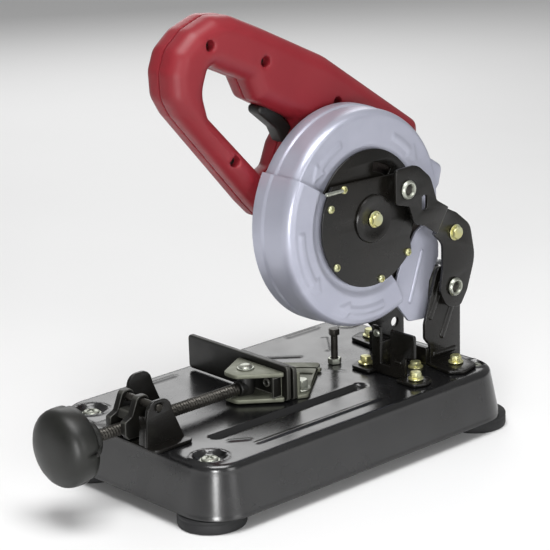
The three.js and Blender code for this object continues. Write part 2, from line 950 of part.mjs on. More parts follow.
const wheelBack = WHEEL.x - WHEEL.thickness / 2;
const wheelFront = WHEEL.x + WHEEL.thickness / 2;
add(
  "spindle",
  turnedX(
    [
      [0, -11],
      [6, -11],
      [6, 5.4],
      [7.4, 5.4],
      [7.4, 33],
      [6.5, 33],
      [6.5, wheelFront + 1],
      [4.3, wheelFront + 1],
      [4.3, 20],
      [0, 20],
    ],
    ARBOR.y,
    ARBOR.z,
    18,
  ),
  steel(),
);
add(
  "spindle_bearing",
  turnedX(sleeve(7.75, 16, CASE.front - 8, CASE.front), ARBOR.y, ARBOR.z, 20),
  steel(),
);
add(
  "wheel_flange_inner",
  turnedX(
    [
      [6.85, 33.35],
      [14, 33.35],
      [20, 36],
      [20, wheelBack - GAP],
      [6.85, wheelBack - GAP],
      [6.85, 33.35],
    ],
    ARBOR.y,
    ARBOR.z,
    24,
  ),
  steel(),
);
add(
  "cutoff_wheel",
  turnedX(sleeve(WHEEL.bore / 2, WHEEL.radius, wheelBack, wheelFront), ARBOR.y, ARBOR.z, 48),
  abrasive(),
);
add(
  "wheel_flange_outer",
  turnedX(
    [
      [4.6, wheelFront + 1.4],
      [10, wheelFront + 1.4],
      [10, wheelFront + GAP],
      [20, wheelFront + GAP],
      [20, wheelFront + 2],
      [14, wheelFront + 4],
      [4.6, wheelFront + 4],
      [4.6, wheelFront + 1.4],
    ],
    ARBOR.y,
    ARBOR.z,
    24,
  ),
  steel(),
);
add(
  "arbor_bolt",
  join(
    turnedX(rod(4, 21, wheelFront + 5), ARBOR.y, ARBOR.z, 14),
    plateX(hexagon(ARBOR.y, ARBOR.z, 13), wheelFront + 4.35, wheelFront + 7),
  ),
  zinc(),
);

// ---------- fixed guard ----------

function upperGuard() {
  const { radius, sheet, inner, face, from, to } = GUARD;
  const at = [ARBOR.y, ARBOR.z];
  const bump = rounded([
    [118, 130],
    [131, 148, 3],
    [135, 163, 6],
    [123, 171, 3],
    [114, 174],
  ]);
  return cut(
    join(plateX(sector(...at, 19, radius, from, to), inner, face, 11), plateX(bump, inner, face)),
    plateX(circle(...at, radius - sheet), inner + sheet, face - sheet, 18),
    plateX(circle(...at, 50), inner + sheet, face + 1, 12),
  );
}
add("upper_guard", upperGuard(), silver_paint());

add(
  "guard_cover",
  cut(
    plateX(circle(ARBOR.y, ARBOR.z, 53.5), GUARD.face + GAP, GUARD.face + 2.3, 14),
    plateX(sector(ARBOR.y, ARBOR.z, 36, 43, 52, 80), 40, 60, 3),
    turnedX(rod(3.35, 40, 60), ARBOR.y, ARBOR.z, 12),
  ),
  satin_black(),
);

// The silver leaf behind the wheel that joins the fixed guard to the arm.
function sparkLeaf() {
  const leaf = rounded([
    [117, 39, 4],
    [96, 41, 6],
    [84, 56, 6],
    [80, 74, 6],
    [88, 92, 4],
    [105, 114, 3],
    [118, 121, 2],
    [131, 100, 6],
    [131, 88, 6],
    [120, 70, 4],
  ].reverse());
  return plateX(leaf, 44, 46.8);
}
add("spark_leaf", sparkLeaf(), silver_paint());

// ---------- guard arm ----------

const ARM = { lower: 55.4, upper: 64, sheet: 3 };

// The black arm that joins the hinge to the guard's hub: its upper half is joggled outwards.
function guardArm() {
  const lower = rounded([
    [128, 49, 8],
    [144, 43, 6],
    [153, 57, 10],
    [163, 84, 30],
    [156, 112, 16],
    [140, 125, 8],
    [126, 131, 3],
    [112, 113, 3],
    [124, 102, 10],
    [124, 80, 20],
    [121, 62, 8],
  ]);
  const upper = rounded([
    [114, 111, 3],
    [127, 132, 3],
    [108, 143, 4],
    [101, 163, 12],
    [84, 176, 10],
    [62, 176, 3],
    [62, 148, 3],
    [77, 144, 4],
    [82, 129, 6],
    [96, 124, 6],
  ]);
  const joggle = rounded([
    [114, 111, 2],
    [127, 131, 2],
    [121, 136, 2],
    [107, 115, 2],
  ]);
  const slot = rounded([
    [91, 138, 2],
    [97, 138, 2],
    [97, 150, 2],
    [91, 150, 2],
  ]);
  return cut(
    join(
      plateX(lower, ARM.lower, ARM.lower + ARM.sheet),
      plateX(upper, ARM.upper, ARM.upper + ARM.sheet),
      plateX(joggle, ARM.lower, ARM.upper + ARM.sheet),
    ),
    turnedX(rod(5.35, 50, 70), HINGE.y, HINGE.z, 16),
    turnedX(rod(4.35, 50, 70), 138, 109, 14),
    turnedX(rod(4.35, 50, 70), 75, 158, 14),
    plateX(slot, 60, 70),
  );
}
add("guard_arm", guardArm(), gloss_black());

add(
  "guard_arm_bolt",
  join(
    turnedX(rod(4, 47.2, ARM.lower + 5), 138, 109, 14),
    plateX(hexagon(138, 109, 10), ARM.lower + ARM.sheet + GAP, ARM.lower + 7),
  ),
  yellow_zinc(),
);
add(
  "guard_arm_pin",
  turnedX(
    [
      [0, 60],
      [6, 60],
      [6, ARM.upper - GAP],
      [4, ARM.upper - GAP],
      [4, ARM.upper + 6],
      [0, ARM.upper + 6],
    ],
    75,
    158,
    16,
  ),
  zinc(),
);

// ---------- moving guard ----------

function lowerGuard() {
  const { radius, sheet, inner, face, from, to, hub, relief } = SWING;
  const at = [ARBOR.y, ARBOR.z];
  return cut(
    plateX(sector(...at, hub - 10, radius, from, to), inner, face, 10),
    plateX(circle(...at, radius - sheet), inner - 1, face - sheet, 24),
    plateX(sector(...at, hub, radius + 5, to - relief.angle, to + 5), inner - 1, relief.x, 3),
  );
}
add("lower_guard", lowerGuard(), silver_paint());

// The black hub plate that the moving guard is screwed to, cut straight across its top.
function guardHub() {
  const disc = new THREE.Shape();
  disc.absarc(ARBOR.y, ARBOR.z, SWING.hub, degrees(142), degrees(322), false);
  disc.absarc(ARBOR.y, ARBOR.z, 46, degrees(332), degrees(402), false);
  disc.closePath();
  return cut(
    join(
      plateX(disc, SWING.face + GAP, SWING.face + 2.8, 9),
      turnedX(rod(19, SWING.face + 2.7, SWING.face + 5), ARBOR.y, ARBOR.z, 20),
    ),
    turnedX(rod(4.35, 40, 70), ARBOR.y, ARBOR.z, 14),
  );
}
add("guard_hub", guardHub(), satin_black());

add(
  "guard_pivot_bolt",
  join(
    turnedX(rod(3, GUARD.face - 0.2, 56), ARBOR.y, ARBOR.z, 14),
    turnedX(rod(4, GUARD.face + 2.65, 61), ARBOR.y, ARBOR.z, 14),
    plateX(hexagon(ARBOR.y, ARBOR.z, 10), SWING.face + 5.35, SWING.face + 9),
  ),
  yellow_zinc(),
);

// ---------- handle ----------

function handleOutline() {
  const shape = new THREE.Shape();
  const seat = 0.8; // the handle's saddle stands this far off the gear case
  shape.moveTo(152, 177);
  shape.lineTo(150, 190);
  shape.lineTo(50, 259);
  shape.absarc(-60, 260, 46, degrees(65.8), degrees(180), false);
  shape.lineTo(-105, 244);
  shape.lineTo(-97, 233);
  shape.lineTo(-27, 153);
  shape.lineTo(-14, 139);
  shape.lineTo(0, 139);
  shape.absarc(ARBOR.y, ARBOR.z, 31 + seat, degrees(165), degrees(99.4), true);
  shape.absarc(SHAFT.y, SHAFT.z, 34 + seat, degrees(99.4), degrees(52), true);
  shape.closePath();
  return shape;
}
function handleWindow() {
  return rounded([
    [-71, 230, 6],
    [-13, 170, 5],
    [3, 178, 4],
    [9, 195],
    [22, 211],
    [-24, 235],
    [-31, 252],
    [-70, 270, 6],
    [-75, 250, 6],
  ]);
}

function handleBlank() {
  const shape = handleOutline();
  const straight = 2 * (HANDLE.half - HANDLE.bevelDepth);
  shape.holes.push(handleWindow());
  return new THREE.ExtrudeGeometry(shape, {
    depth: straight,
    curveSegments: 4,
    bevelEnabled: true,
    bevelThickness: HANDLE.bevelDepth,
    bevelSize: HANDLE.bevel,
    bevelOffset: -HANDLE.bevel,
    bevelSegments: 3,
  })
    .applyMatrix4(ALONG_X)
    .translate(HANDLE.middle - straight / 2, 0, 0);
}

// The room for the trigger and the switch, open at the joint between the two shells.
function handleCavity() {
  const triggerRoom = rounded([
    [-19, 231, 1],
    [-8, 212, 1],
    [15, 184, 1],
    [34, 208, 2],
    [0, 242, 2],
  ]);
  const switchRoom = rounded([
    [4, 236, 1],
    [34, 206, 1],
    [54, 226, 1],
    [24, 256, 1],
  ]);
  return join(plateX(triggerRoom, -18.6, -1.4), plateX(switchRoom, -21, 1));
}

const reach = 200;
for (const [name, x0, x1] of [
  ["handle_left", -40, HANDLE.middle - GAP / 2],
  ["handle_right", HANDLE.middle + GAP / 2, 20],
]) {
  const side = block(x0, x1, -reach, reach, 0, 2 * reach);
  add(name, cut(common(handleBlank(), side), handleCavity()), red_plastic());
}

add(
  "switch_body",
  plateX(
    rounded([
      [6.5, 237.5, 1],
      [31, 213, 1],
      [50, 228, 1],
      [25.5, 252.5, 1],
    ]),
    -19,
    -1,
  ),
  black_plastic(),
);
add(
  "trigger",
  plateX(
    rounded([
      [-14, 230, 2],
      [-14, 223, 2],
      [4, 208, 6],
      [13, 190, 2],
      [22, 205, 2],
      [2, 227, 3],
    ]),
    -17,
    -3,
    5,
  ),
  black_plastic(),
);

// ---------- part frame ----------

const bounds = new THREE.Box3().setFromObject(machine, true);
const centre = bounds.getCenter(new THREE.Vector3());
machine.position.set(-centre.x, -centre.y, -bounds.min.z);

const saw = new THREE.Group();
saw.add(machine);

export default saw;
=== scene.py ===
"""A bench-top abrasive cut-off saw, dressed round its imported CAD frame.

Pieces are laid out in millimetres from the middle of the base's top plate, as the CAD part is:
+X is the machine's right, +Y its rear and +Z up. build() moves them into the row frame in metres.
"""

import json
import math

import bmesh
import bpy
import numpy as np
from mathutils import Matrix, Vector


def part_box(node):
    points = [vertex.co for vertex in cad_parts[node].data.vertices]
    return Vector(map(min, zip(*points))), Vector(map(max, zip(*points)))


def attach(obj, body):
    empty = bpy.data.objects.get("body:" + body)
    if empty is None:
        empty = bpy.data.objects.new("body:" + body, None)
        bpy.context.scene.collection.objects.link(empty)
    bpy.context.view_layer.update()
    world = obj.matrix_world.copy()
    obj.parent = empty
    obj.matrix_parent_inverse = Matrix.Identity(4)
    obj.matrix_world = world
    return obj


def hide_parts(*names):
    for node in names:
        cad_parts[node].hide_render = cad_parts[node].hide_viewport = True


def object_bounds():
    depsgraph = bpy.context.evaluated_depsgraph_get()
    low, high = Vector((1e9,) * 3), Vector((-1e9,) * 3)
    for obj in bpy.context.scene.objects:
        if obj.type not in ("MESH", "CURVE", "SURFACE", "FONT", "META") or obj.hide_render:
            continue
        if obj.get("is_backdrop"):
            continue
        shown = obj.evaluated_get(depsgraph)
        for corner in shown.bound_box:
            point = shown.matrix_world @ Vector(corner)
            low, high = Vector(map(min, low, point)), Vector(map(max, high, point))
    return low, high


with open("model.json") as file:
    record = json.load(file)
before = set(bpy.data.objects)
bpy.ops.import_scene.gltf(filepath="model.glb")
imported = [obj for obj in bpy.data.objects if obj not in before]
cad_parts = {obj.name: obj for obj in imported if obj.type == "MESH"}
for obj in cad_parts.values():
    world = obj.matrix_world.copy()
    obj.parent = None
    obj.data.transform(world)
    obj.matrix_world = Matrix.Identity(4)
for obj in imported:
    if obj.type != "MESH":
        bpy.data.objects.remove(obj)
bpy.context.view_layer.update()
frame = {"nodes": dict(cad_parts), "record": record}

MM = 0.001
TRAY_LOW, TRAY_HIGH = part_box("base_tray")
DATUM = Vector(((TRAY_LOW.x + TRAY_HIGH.x) / 2, (TRAY_LOW.y + TRAY_HIGH.y) / 2, TRAY_HIGH.z))
TO_ROW = Matrix.Translation(DATUM) @ Matrix.Scale(MM, 4)


def local_box(node):
    """A CAD node's lowest and highest corners in millimetres from the datum."""
    low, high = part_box(node)
    return (low - DATUM) / MM, (high - DATUM) / MM


def axis_of(node):
    low, high = local_box(node)
    return (low + high) / 2


ARBOR = axis_of("cutoff_wheel")
HINGE = axis_of("hinge_pin")
SHAFT = axis_of("stator")
WHEEL_RADIUS = (local_box("cutoff_wheel")[1].z - local_box("cutoff_wheel")[0].z) / 2
FLOOR_Z = local_box("foot_front_left")[0].z
PIVOT = axis_of("fence_pivot_bolt")
STOP = axis_of("depth_stop_screw")
SCREW_Z = axis_of("vise_screw").z
JAW_PIN = axis_of("jaw_pin")
NUT_PIN = axis_of("half_nut_pin")
AT_HINGE = (0, HINGE.y, HINGE.z)
AT_ARBOR = (0, ARBOR.y, ARBOR.z)
AT_SHAFT = (0, SHAFT.y, SHAFT.z)


# ---------- materials ----------


def srgb(red, green, blue):
    """Linear colour of an 8-bit display colour."""
    values = []
    for value in (red, green, blue):
        v = value / 255
        values.append(v / 12.92 if v <= 0.04045 else ((v + 0.055) / 1.055) ** 2.4)
    return (*values, 1.0)


class Finish:
    """A node material: its colour and roughness wander a little, and fine noise raises the surface."""

    def __init__(self, name, color, roughness, metallic=0.0, **sockets):
        self.name = name
        self.material = bpy.data.materials.new("finish_" + name)
        self.material.use_nodes = True
        self.tree = self.material.node_tree
        self.shader = self.tree.nodes["Principled BSDF"]
        self.shader.inputs["Base Color"].default_value = color
        self.shader.inputs["Roughness"].default_value = roughness
        self.shader.inputs["Metallic"].default_value = metallic
        for socket, value in sockets.items():
            self.shader.inputs[socket.replace("_", " ")].default_value = value
        self.color = color
        self.height = None
        self.place = self.tree.nodes.new("ShaderNodeTexCoord").outputs["Object"]

    def noise(self, scale, detail):
        texture = self.tree.nodes.new("ShaderNodeTexNoise")
        texture.inputs["Scale"].default_value = scale
        texture.inputs["Detail"].default_value = detail
        self.tree.links.new(self.place, texture.inputs["Vector"])
        return texture.outputs["Fac"]

    def ramp(self, value, low, high, from_value, to_value):
        change = self.tree.nodes.new("ShaderNodeMapRange")
        change.inputs["From Min"].default_value = low
        change.inputs["From Max"].default_value = high
        change.inputs["To Min"].default_value = from_value
        change.inputs["To Max"].default_value = to_value
        self.tree.links.new(value, change.inputs["Value"])
        return change.outputs["Result"]

    def blend(self, share, other):
        """Mixes another colour into the base colour by the given share."""
        mix = self.tree.nodes.new("ShaderNodeMix")
        mix.data_type = "RGBA"
        self.tree.links.new(share, mix.inputs["Factor"])
        source = self.shader.inputs["Base Color"]
        if source.is_linked:
            self.tree.links.new(source.links[0].from_socket, mix.inputs[6])
        else:
            mix.inputs[6].default_value = self.color
        mix.inputs[7].default_value = other
        self.tree.links.new(mix.outputs[2], source)
        return self

    def mottle(self, other, scale, low=0.4, high=0.7):
        """Blends towards another colour where slow noise is high."""
        return self.blend(self.ramp(self.noise(scale, 4.0), low, high, 0.0, 1.0), other)

    def vary_roughness(self, scale, low, high):
        value = self.ramp(self.noise(scale, 4.0), 0.3, 0.7, low, high)
        self.tree.links.new(value, self.shader.inputs["Roughness"])
        return self

    def bump(self, scale, strength, distance=0.0002, detail=2.0):
        bump = self.tree.nodes.new("ShaderNodeBump")
        bump.inputs["Strength"].default_value = strength
        bump.inputs["Distance"].default_value = distance
        self.tree.links.new(self.noise(scale, detail), bump.inputs["Height"])
        if self.height is not None:
            self.tree.links.new(self.height, bump.inputs["Normal"])
        self.height = bump.outputs["Normal"]
        self.tree.links.new(self.height, self.shader.inputs["Normal"])
        return self

    def worn_edges(self, other):
        """Lets another colour through where the surface bends sharply."""
        geometry = self.tree.nodes.new("ShaderNodeNewGeometry")
        return self.blend(self.ramp(geometry.outputs["Pointiness"], 0.53, 0.6, 0.0, 0.6), other)


def make_finishes():
    enamel = Finish("black_enamel", srgb(15, 15, 16), 0.26, 0.0, Specular_IOR_Level=0.8)
    enamel.mottle(srgb(23, 23, 24), 18).vary_roughness(30, 0.2, 0.3).bump(420, 0.12)
    satin = Finish("black_satin_paint", srgb(12, 12, 10), 0.36, Specular_IOR_Level=0.3)
    satin.mottle(srgb(19, 18, 15), 40).vary_roughness(60, 0.3, 0.44).bump(900, 0.18)
    satin.worn_edges(srgb(150, 150, 142))
    arm = Finish("black_gloss_paint", srgb(14, 13, 11), 0.3, Specular_IOR_Level=0.4)
    arm.mottle(srgb(20, 18, 15), 30).vary_roughness(45, 0.2, 0.34).bump(600, 0.12)
    silver = Finish("silver_paint", srgb(176, 178, 192), 0.34, 0.5)
    silver.mottle(srgb(166, 168, 183), 22).vary_roughness(50, 0.32, 0.42).bump(1500, 0.1)
    red = Finish("red_plastic", srgb(122, 26, 35), 0.4, Specular_IOR_Level=0.4)
    red.mottle(srgb(130, 33, 41), 14).vary_roughness(35, 0.36, 0.5).bump(2200, 0.25)
    plastic = Finish("black_plastic", srgb(18, 18, 16), 0.45)
    plastic.mottle(srgb(26, 26, 24), 25).vary_roughness(50, 0.42, 0.58).bump(1800, 0.3)
    knob = Finish("knob_plastic", srgb(15, 16, 13), 0.36)
    knob.mottle(srgb(23, 24, 20), 30).vary_roughness(40, 0.34, 0.5).bump(1600, 0.25)
    rubber = Finish("black_rubber", srgb(16, 17, 18), 0.6)
    rubber.mottle(srgb(26, 26, 28), 45).vary_roughness(60, 0.58, 0.75).bump(1200, 0.35)
    zinc = Finish("zinc_plate", srgb(176, 179, 168), 0.34, 0.85)
    zinc.mottle(srgb(150, 152, 142), 90).vary_roughness(120, 0.28, 0.46).bump(700, 0.1)
    dull = Finish("dull_zinc", srgb(128, 130, 116), 0.5, 0.55)
    dull.mottle(srgb(104, 106, 92), 55).vary_roughness(80, 0.42, 0.6).bump(500, 0.15)
    yellow = Finish("yellow_zinc", srgb(205, 200, 140), 0.34, 0.8)
    yellow.mottle(srgb(186, 190, 160), 130).vary_roughness(150, 0.26, 0.44).bump(700, 0.1)
    steel = Finish("turned_steel", srgb(160, 162, 165), 0.3, 0.95)
    steel.mottle(srgb(130, 132, 136), 60).vary_roughness(90, 0.24, 0.42).bump(900, 0.08)
    dark_steel = Finish("oiled_steel", srgb(70, 68, 64), 0.36, 0.8)
    dark_steel.mottle(srgb(48, 46, 42), 70).vary_roughness(80, 0.3, 0.5).bump(700, 0.15)
    grit = Finish("abrasive_resin", srgb(56, 50, 47), 0.88)
    grit.mottle(srgb(92, 84, 78), 900, 0.5, 0.75).vary_roughness(300, 0.78, 0.96)
    grit.bump(1400, 0.8, 0.0005, 4.0)
    copper = Finish("copper_winding", srgb(164, 92, 52), 0.36, 0.8)
    copper.mottle(srgb(120, 62, 36), 80).vary_roughness(90, 0.3, 0.48).bump(900, 0.3)
    made = (
        enamel, satin, arm, silver, red, plastic, knob, rubber,
        zinc, dull, yellow, steel, dark_steel, grit, copper,
    )
    return {finish.name: finish.material for finish in made}


MATERIALS = make_finishes()


# ---------- mesh helpers ----------

ALONG = {
    # outline (u, v) and depth w to X, Y, Z
    "x": Matrix(((0, 0, 1, 0), (1, 0, 0, 0), (0, 1, 0, 0), (0, 0, 0, 1))),
    "y": Matrix(((1, 0, 0, 0), (0, 0, -1, 0), (0, 1, 0, 0), (0, 0, 0, 1))),
    "z": Matrix.Identity(4),
}


def rounded(corners, steps=5):
    """Points of a closed outline whose corners (u, v, radius) are rounded by arcs."""
    points = []
    count = len(corners)
    for i, corner in enumerate(corners):
        here = Vector(corner[:2])
        radius = corner[2] if len(corner) > 2 else 0
        back = (Vector(corners[i - 1][:2]) - here).normalized()
        ahead = (Vector(corners[(i + 1) % count][:2]) - here).normalized()
        if radius == 0:
            points.append(tuple(here))
            continue
        half = back.angle(ahead) / 2
        middle = here + (back + ahead).normalized() * (radius / math.sin(half))
        start = here + back * (radius / math.tan(half)) - middle
        end = here + ahead * (radius / math.tan(half)) - middle
        first = math.atan2(start.y, start.x)
        turn = math.remainder(math.atan2(end.y, end.x) - first, 2 * math.pi)
        for k in range(steps + 1):
            angle = first + turn * k / steps
            points.append((middle.x + radius * math.cos(angle), middle.y + radius * math.sin(angle)))
    return points


def arc(u, v, radius, start, end, steps=24):
    """Points on a circle between two angles in degrees, both ends included."""
    points = []
    for k in range(steps + 1):
        angle = math.radians(start + (end - start) * k / steps)
        points.append((u + radius * math.cos(angle), v + radius * math.sin(angle)))
    return points


def ring(u, v, radius, steps=40):
    return arc(u, v, radius, 0, 360 * (steps - 1) / steps, steps - 1)


def rectangle(u0, u1, v0, v1, radius=0.0):
    return rounded([(u0, v0, radius), (u1, v0, radius), (u1, v1, radius), (u0, v1, radius)])


def plate(loops, low, high, axis="x", edge=0.5, segments=2):
    """A plate with rounded edges: the first loop is its outline and the others are holes."""
    curve = bpy.data.curves.new("outline", "CURVE")
    curve.dimensions = "2D"
    curve.fill_mode = "BOTH"
    for loop in loops:
        spline = curve.splines.new("POLY")
        spline.points.add(len(loop) - 1)
        for point, (u, v) in zip(spline.points, loop):
            point.co = (u, v, 0, 1)
        spline.use_cyclic_u = True
    curve.extrude = abs(high - low) / 2 - edge
    curve.bevel_depth = edge
    curve.offset = -edge
    curve.bevel_resolution = segments
    holder = bpy.data.objects.new("outline", curve)
    bpy.context.scene.collection.objects.link(holder)
    evaluated = holder.evaluated_get(bpy.context.evaluated_depsgraph_get())
    mesh = bpy.data.meshes.new_from_object(evaluated)
    made = bmesh.new()
    made.from_mesh(mesh)
    bpy.data.objects.remove(holder)
    bpy.data.curves.remove(curve)
    bpy.data.meshes.remove(mesh)
    bmesh.ops.remove_doubles(made, verts=made.verts, dist=1e-3)
    depth = (low + high) / 2 * (-1 if axis == "y" else 1)
    made.transform(ALONG[axis] @ Matrix.Translation((0, 0, depth)))
    return made


def joined(*parts):
    """One bmesh that holds all the parts."""
    whole = bmesh.new()
    for part in parts:
        mesh = bpy.data.meshes.new("part")
        part.to_mesh(mesh)
        part.free()
        whole.from_mesh(mesh)
        bpy.data.meshes.remove(mesh)
    return whole


def grid_faces(made, rows, closed_u, closed_v):
    """Quads between rows of vertices; a row of one vertex is a pole."""
    row_count = len(rows) if closed_v else len(rows) - 1
    for i in range(row_count):
        low, high = rows[i], rows[(i + 1) % len(rows)]
        count = max(len(low), len(high))
        for k in range(count if closed_u else count - 1):
            n = (k + 1) % count
            corners = [low[k % len(low)], low[n % len(low)], high[n % len(high)], high[k % len(high)]]
            unique = []
            for corner in corners:
                if corner not in unique:
                    unique.append(corner)
            if len(unique) > 2:
                made.faces.new(unique)


def turned(profile, centre=(0, 0, 0), axis="x", segments=48, shape=None):
    """A turned piece from (radius, distance) points, from axis to axis or closed on itself.

    shape(angle, radius, distance) may change the radius, for flutes and threads.
    """
    made = bmesh.new()
    open_profile = profile[0][0] == 0 and profile[-1][0] == 0
    rows = []
    for radius, distance in profile:
        if radius == 0:
            rows.append([made.verts.new((0, 0, distance))])
            continue
        row = []
        for k in range(segments):
            angle = 2 * math.pi * k / segments
            r = shape(angle, radius, distance) if shape else radius
            row.append(made.verts.new((r * math.cos(angle), r * math.sin(angle), distance)))
        rows.append(row)
    grid_faces(made, rows, True, not open_profile)
    bmesh.ops.recalc_face_normals(made, faces=made.faces)
    made.transform(Matrix.Translation(centre) @ ALONG[axis])
    return made


def swept(profile, start, end, centre, steps=48, emboss=None):
    """A closed (radius, x) profile swept round an axis along X, between two angles."""
    made = bmesh.new()
    rows = []
    for k in range(steps + 1):
        angle = math.radians(start + (end - start) * k / steps)
        row = []
        for radius, x in profile:
            lift = emboss(radius, math.degrees(angle), x) if emboss else 0
            y = centre.y + radius * math.cos(angle)
            z = centre.z + radius * math.sin(angle)
            row.append(made.verts.new((x + lift, y, z)))
        rows.append(row)
    grid_faces(made, rows, True, False)
    made.faces.new(rows[0])
    made.faces.new(list(reversed(rows[-1])))
    bmesh.ops.recalc_face_normals(made, faces=made.faces)
    return made


def rod_profile(radius, low, high, chamfer=0.4):
    return [
        (0, low), (radius - chamfer, low), (radius, low + chamfer),
        (radius, high - chamfer), (radius - chamfer, high), (0, high),
    ]


def sleeve_profile(inner, outer, low, high, chamfer=0.3):
    return [
        (inner, low + chamfer), (inner + chamfer, low), (outer - chamfer, low),
        (outer, low + chamfer), (outer, high - chamfer), (outer - chamfer, high),
        (inner + chamfer, high), (inner, high - chamfer),
    ]


def rivet_core(radius, low):
    return [(0, low), (radius, low), (radius, low + 0.5), (radius - 1.5, low + 1.2), (0, low + 1.5)]


def hexagon_head(across, low, high, centre, axis):
    """A hexagonal head whose outer corners are turned off."""
    made = bmesh.new()
    rows = [[made.verts.new((0, 0, low))]]
    crown = across * 0.5
    for share, level in ((1, low), (1, high - 0.09 * across), (0, high)):
        row = []
        for k in range(36):
            angle = 2 * math.pi * k / 36
            flat = crown / math.cos((angle + math.pi / 6) % (math.pi / 3) - math.pi / 6)
            r = share * flat + (1 - share) * crown * 0.96
            row.append(made.verts.new((r * math.cos(angle), r * math.sin(angle), level)))
        rows.append(row)
    rows.append([made.verts.new((0, 0, high))])
    grid_faces(made, rows, True, False)
    bmesh.ops.recalc_face_normals(made, faces=made.faces)
    made.transform(Matrix.Translation(centre) @ ALONG[axis])
    return made


def flange_bolt(centre, axis, across, shank, length, height):
    """A hex bolt with a washer face, its head starting at the centre point."""
    body = turned(
        [
            (0, -length), (shank * 0.8, -length), (shank, 0.6 - length), (shank, 0),
            (across * 0.76, 0), (across * 0.78, 0.4), (across * 0.76, 1.1),
            (across * 0.55, 1.9), (0, 2.0),
        ],
        centre, axis,
    )
    return joined(body, hexagon_head(across, 1.2, height, centre, axis))


def screw_head(centre, axis, radius, height):
    """A domed screw head with a cross recess, its seat at the centre point."""
    dome = [(0, 0), (radius, 0), (radius, height * 0.3)]
    for k in range(1, 19):
        lift = math.radians(5 * k)
        level = height * (0.3 + 0.7 * math.sin(lift))
        dome.append((radius * math.cos(lift) if k < 18 else 0, level))
    made = turned(dome, (0, 0, 0), "z", 64)
    for vertex in made.verts:
        u, v, w = vertex.co
        inside = min(abs(u), abs(v)) < radius * 0.14 and max(abs(u), abs(v)) < radius * 0.62
        if w > height * 0.5 and inside:
            vertex.co.z = height * 0.4
    made.transform(Matrix.Translation(centre) @ ALONG[axis])
    return made


def rib(start, end, width, height, base, axis="z"):
    """A pressed rib: a long low ridge half sunk in the surface at depth base."""
    made = bmesh.new()
    a, b = Vector(start), Vector(end)
    along = (b - a).normalized()
    across = Vector((-along.y, along.x))
    length = (b - a).length
    rows = []
    stations = [0.0, 0.06, 0.2, 0.45, 0.75, 1.0]
    reach = width / 2
    places = [(reach * s, math.sqrt(1 - (1 - s) ** 2)) for s in stations]
    places += [(length - d, scale) for d, scale in reversed(places)]
    for distance, scale in places:
        spot = a + along * distance
        if scale == 0:
            rows.append([made.verts.new((spot.x, spot.y, base))])
            continue
        row = []
        for k in range(16):
            angle = math.pi * k / 8
            side = across * (reach * scale * math.cos(angle))
            row.append(made.verts.new((*(spot + side), base + height * scale * math.sin(angle))))
        rows.append(row)
    grid_faces(made, rows, True, False)
    bmesh.ops.recalc_face_normals(made, faces=made.faces)
    made.transform(ALONG[axis])
    return made


def bend(made, origin, normal, width, shift):
    """Moves what lies past a band of the given width by shift, with a smooth joggle across it."""
    origin, normal = Vector(origin), Vector(normal).normalized()
    for k in range(7):
        whole = made.verts[:] + made.edges[:] + made.faces[:]
        cut = origin + normal * (width * k / 6)
        bmesh.ops.bisect_plane(made, geom=whole, plane_co=cut, plane_no=normal, dist=1e-4)
    for vertex in made.verts:
        share = min(max((vertex.co - origin).dot(normal) / width, 0), 1)
        vertex.co += Vector(shift) * (share * share * (3 - 2 * share))
    return made


def difference(made, *cutters):
    """Cuts the cutters out of a bmesh."""
    objects = []
    for part in (made, *cutters):
        mesh = bpy.data.meshes.new("cut")
        part.to_mesh(mesh)
        part.free()
        thing = bpy.data.objects.new("cut", mesh)
        bpy.context.scene.collection.objects.link(thing)
        objects.append(thing)
    body = objects[0]
    for cutter in objects[1:]:
        modifier = body.modifiers.new("cut", "BOOLEAN")
        modifier.operation = "DIFFERENCE"
        modifier.solver = "EXACT"
        modifier.object = cutter
    evaluated = body.evaluated_get(bpy.context.evaluated_depsgraph_get())
    mesh = bpy.data.meshes.new_from_object(evaluated)
    result = bmesh.new()
    result.from_mesh(mesh)
    for thing in objects:
        used = thing.data
        bpy.data.objects.remove(thing)
        bpy.data.meshes.remove(used)
    bpy.data.meshes.remove(mesh)
    return result


def build(name, made, body, finish, replaces=(), crease=38):
    """Turns a bmesh in datum millimetres into a finished piece on its body."""
    bmesh.ops.recalc_face_normals(made, faces=made.faces)
    made.transform(TO_ROW)
    mesh = bpy.data.meshes.new(name)
    made.to_mesh(mesh)
    made.free()
    mesh.materials.append(MATERIALS[finish])
    thing = bpy.data.objects.new(name, mesh)
    bpy.context.scene.collection.objects.link(thing)
    mesh.shade_smooth()
    mesh.set_sharp_from_angle(angle=math.radians(crease))
    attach(thing, body)
    if replaces:
        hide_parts(*([replaces] if isinstance(replaces, str) else replaces))
    return thing


# ---------- solids from fields ----------


def outline_distance(outline, u, v):
    """Signed distance from grid points to a closed outline, negative inside."""
    distance = np.full(u.shape, np.inf)
    inside = np.zeros(u.shape, bool)
    for (u0, v0), (u1, v1) in zip(outline, outline[1:] + outline[:1]):
        du, dv = u1 - u0, v1 - v0
        along = np.clip(((u - u0) * du + (v - v0) * dv) / (du * du + dv * dv), 0, 1)
        distance = np.minimum(distance, np.hypot(u - u0 - along * du, v - v0 - along * dv))
        if dv:
            crosses = (v0 > v) != (v1 > v)
            inside ^= crosses & (u < u0 + (v - v0) * du / dv)
    return np.where(inside, -distance, distance)


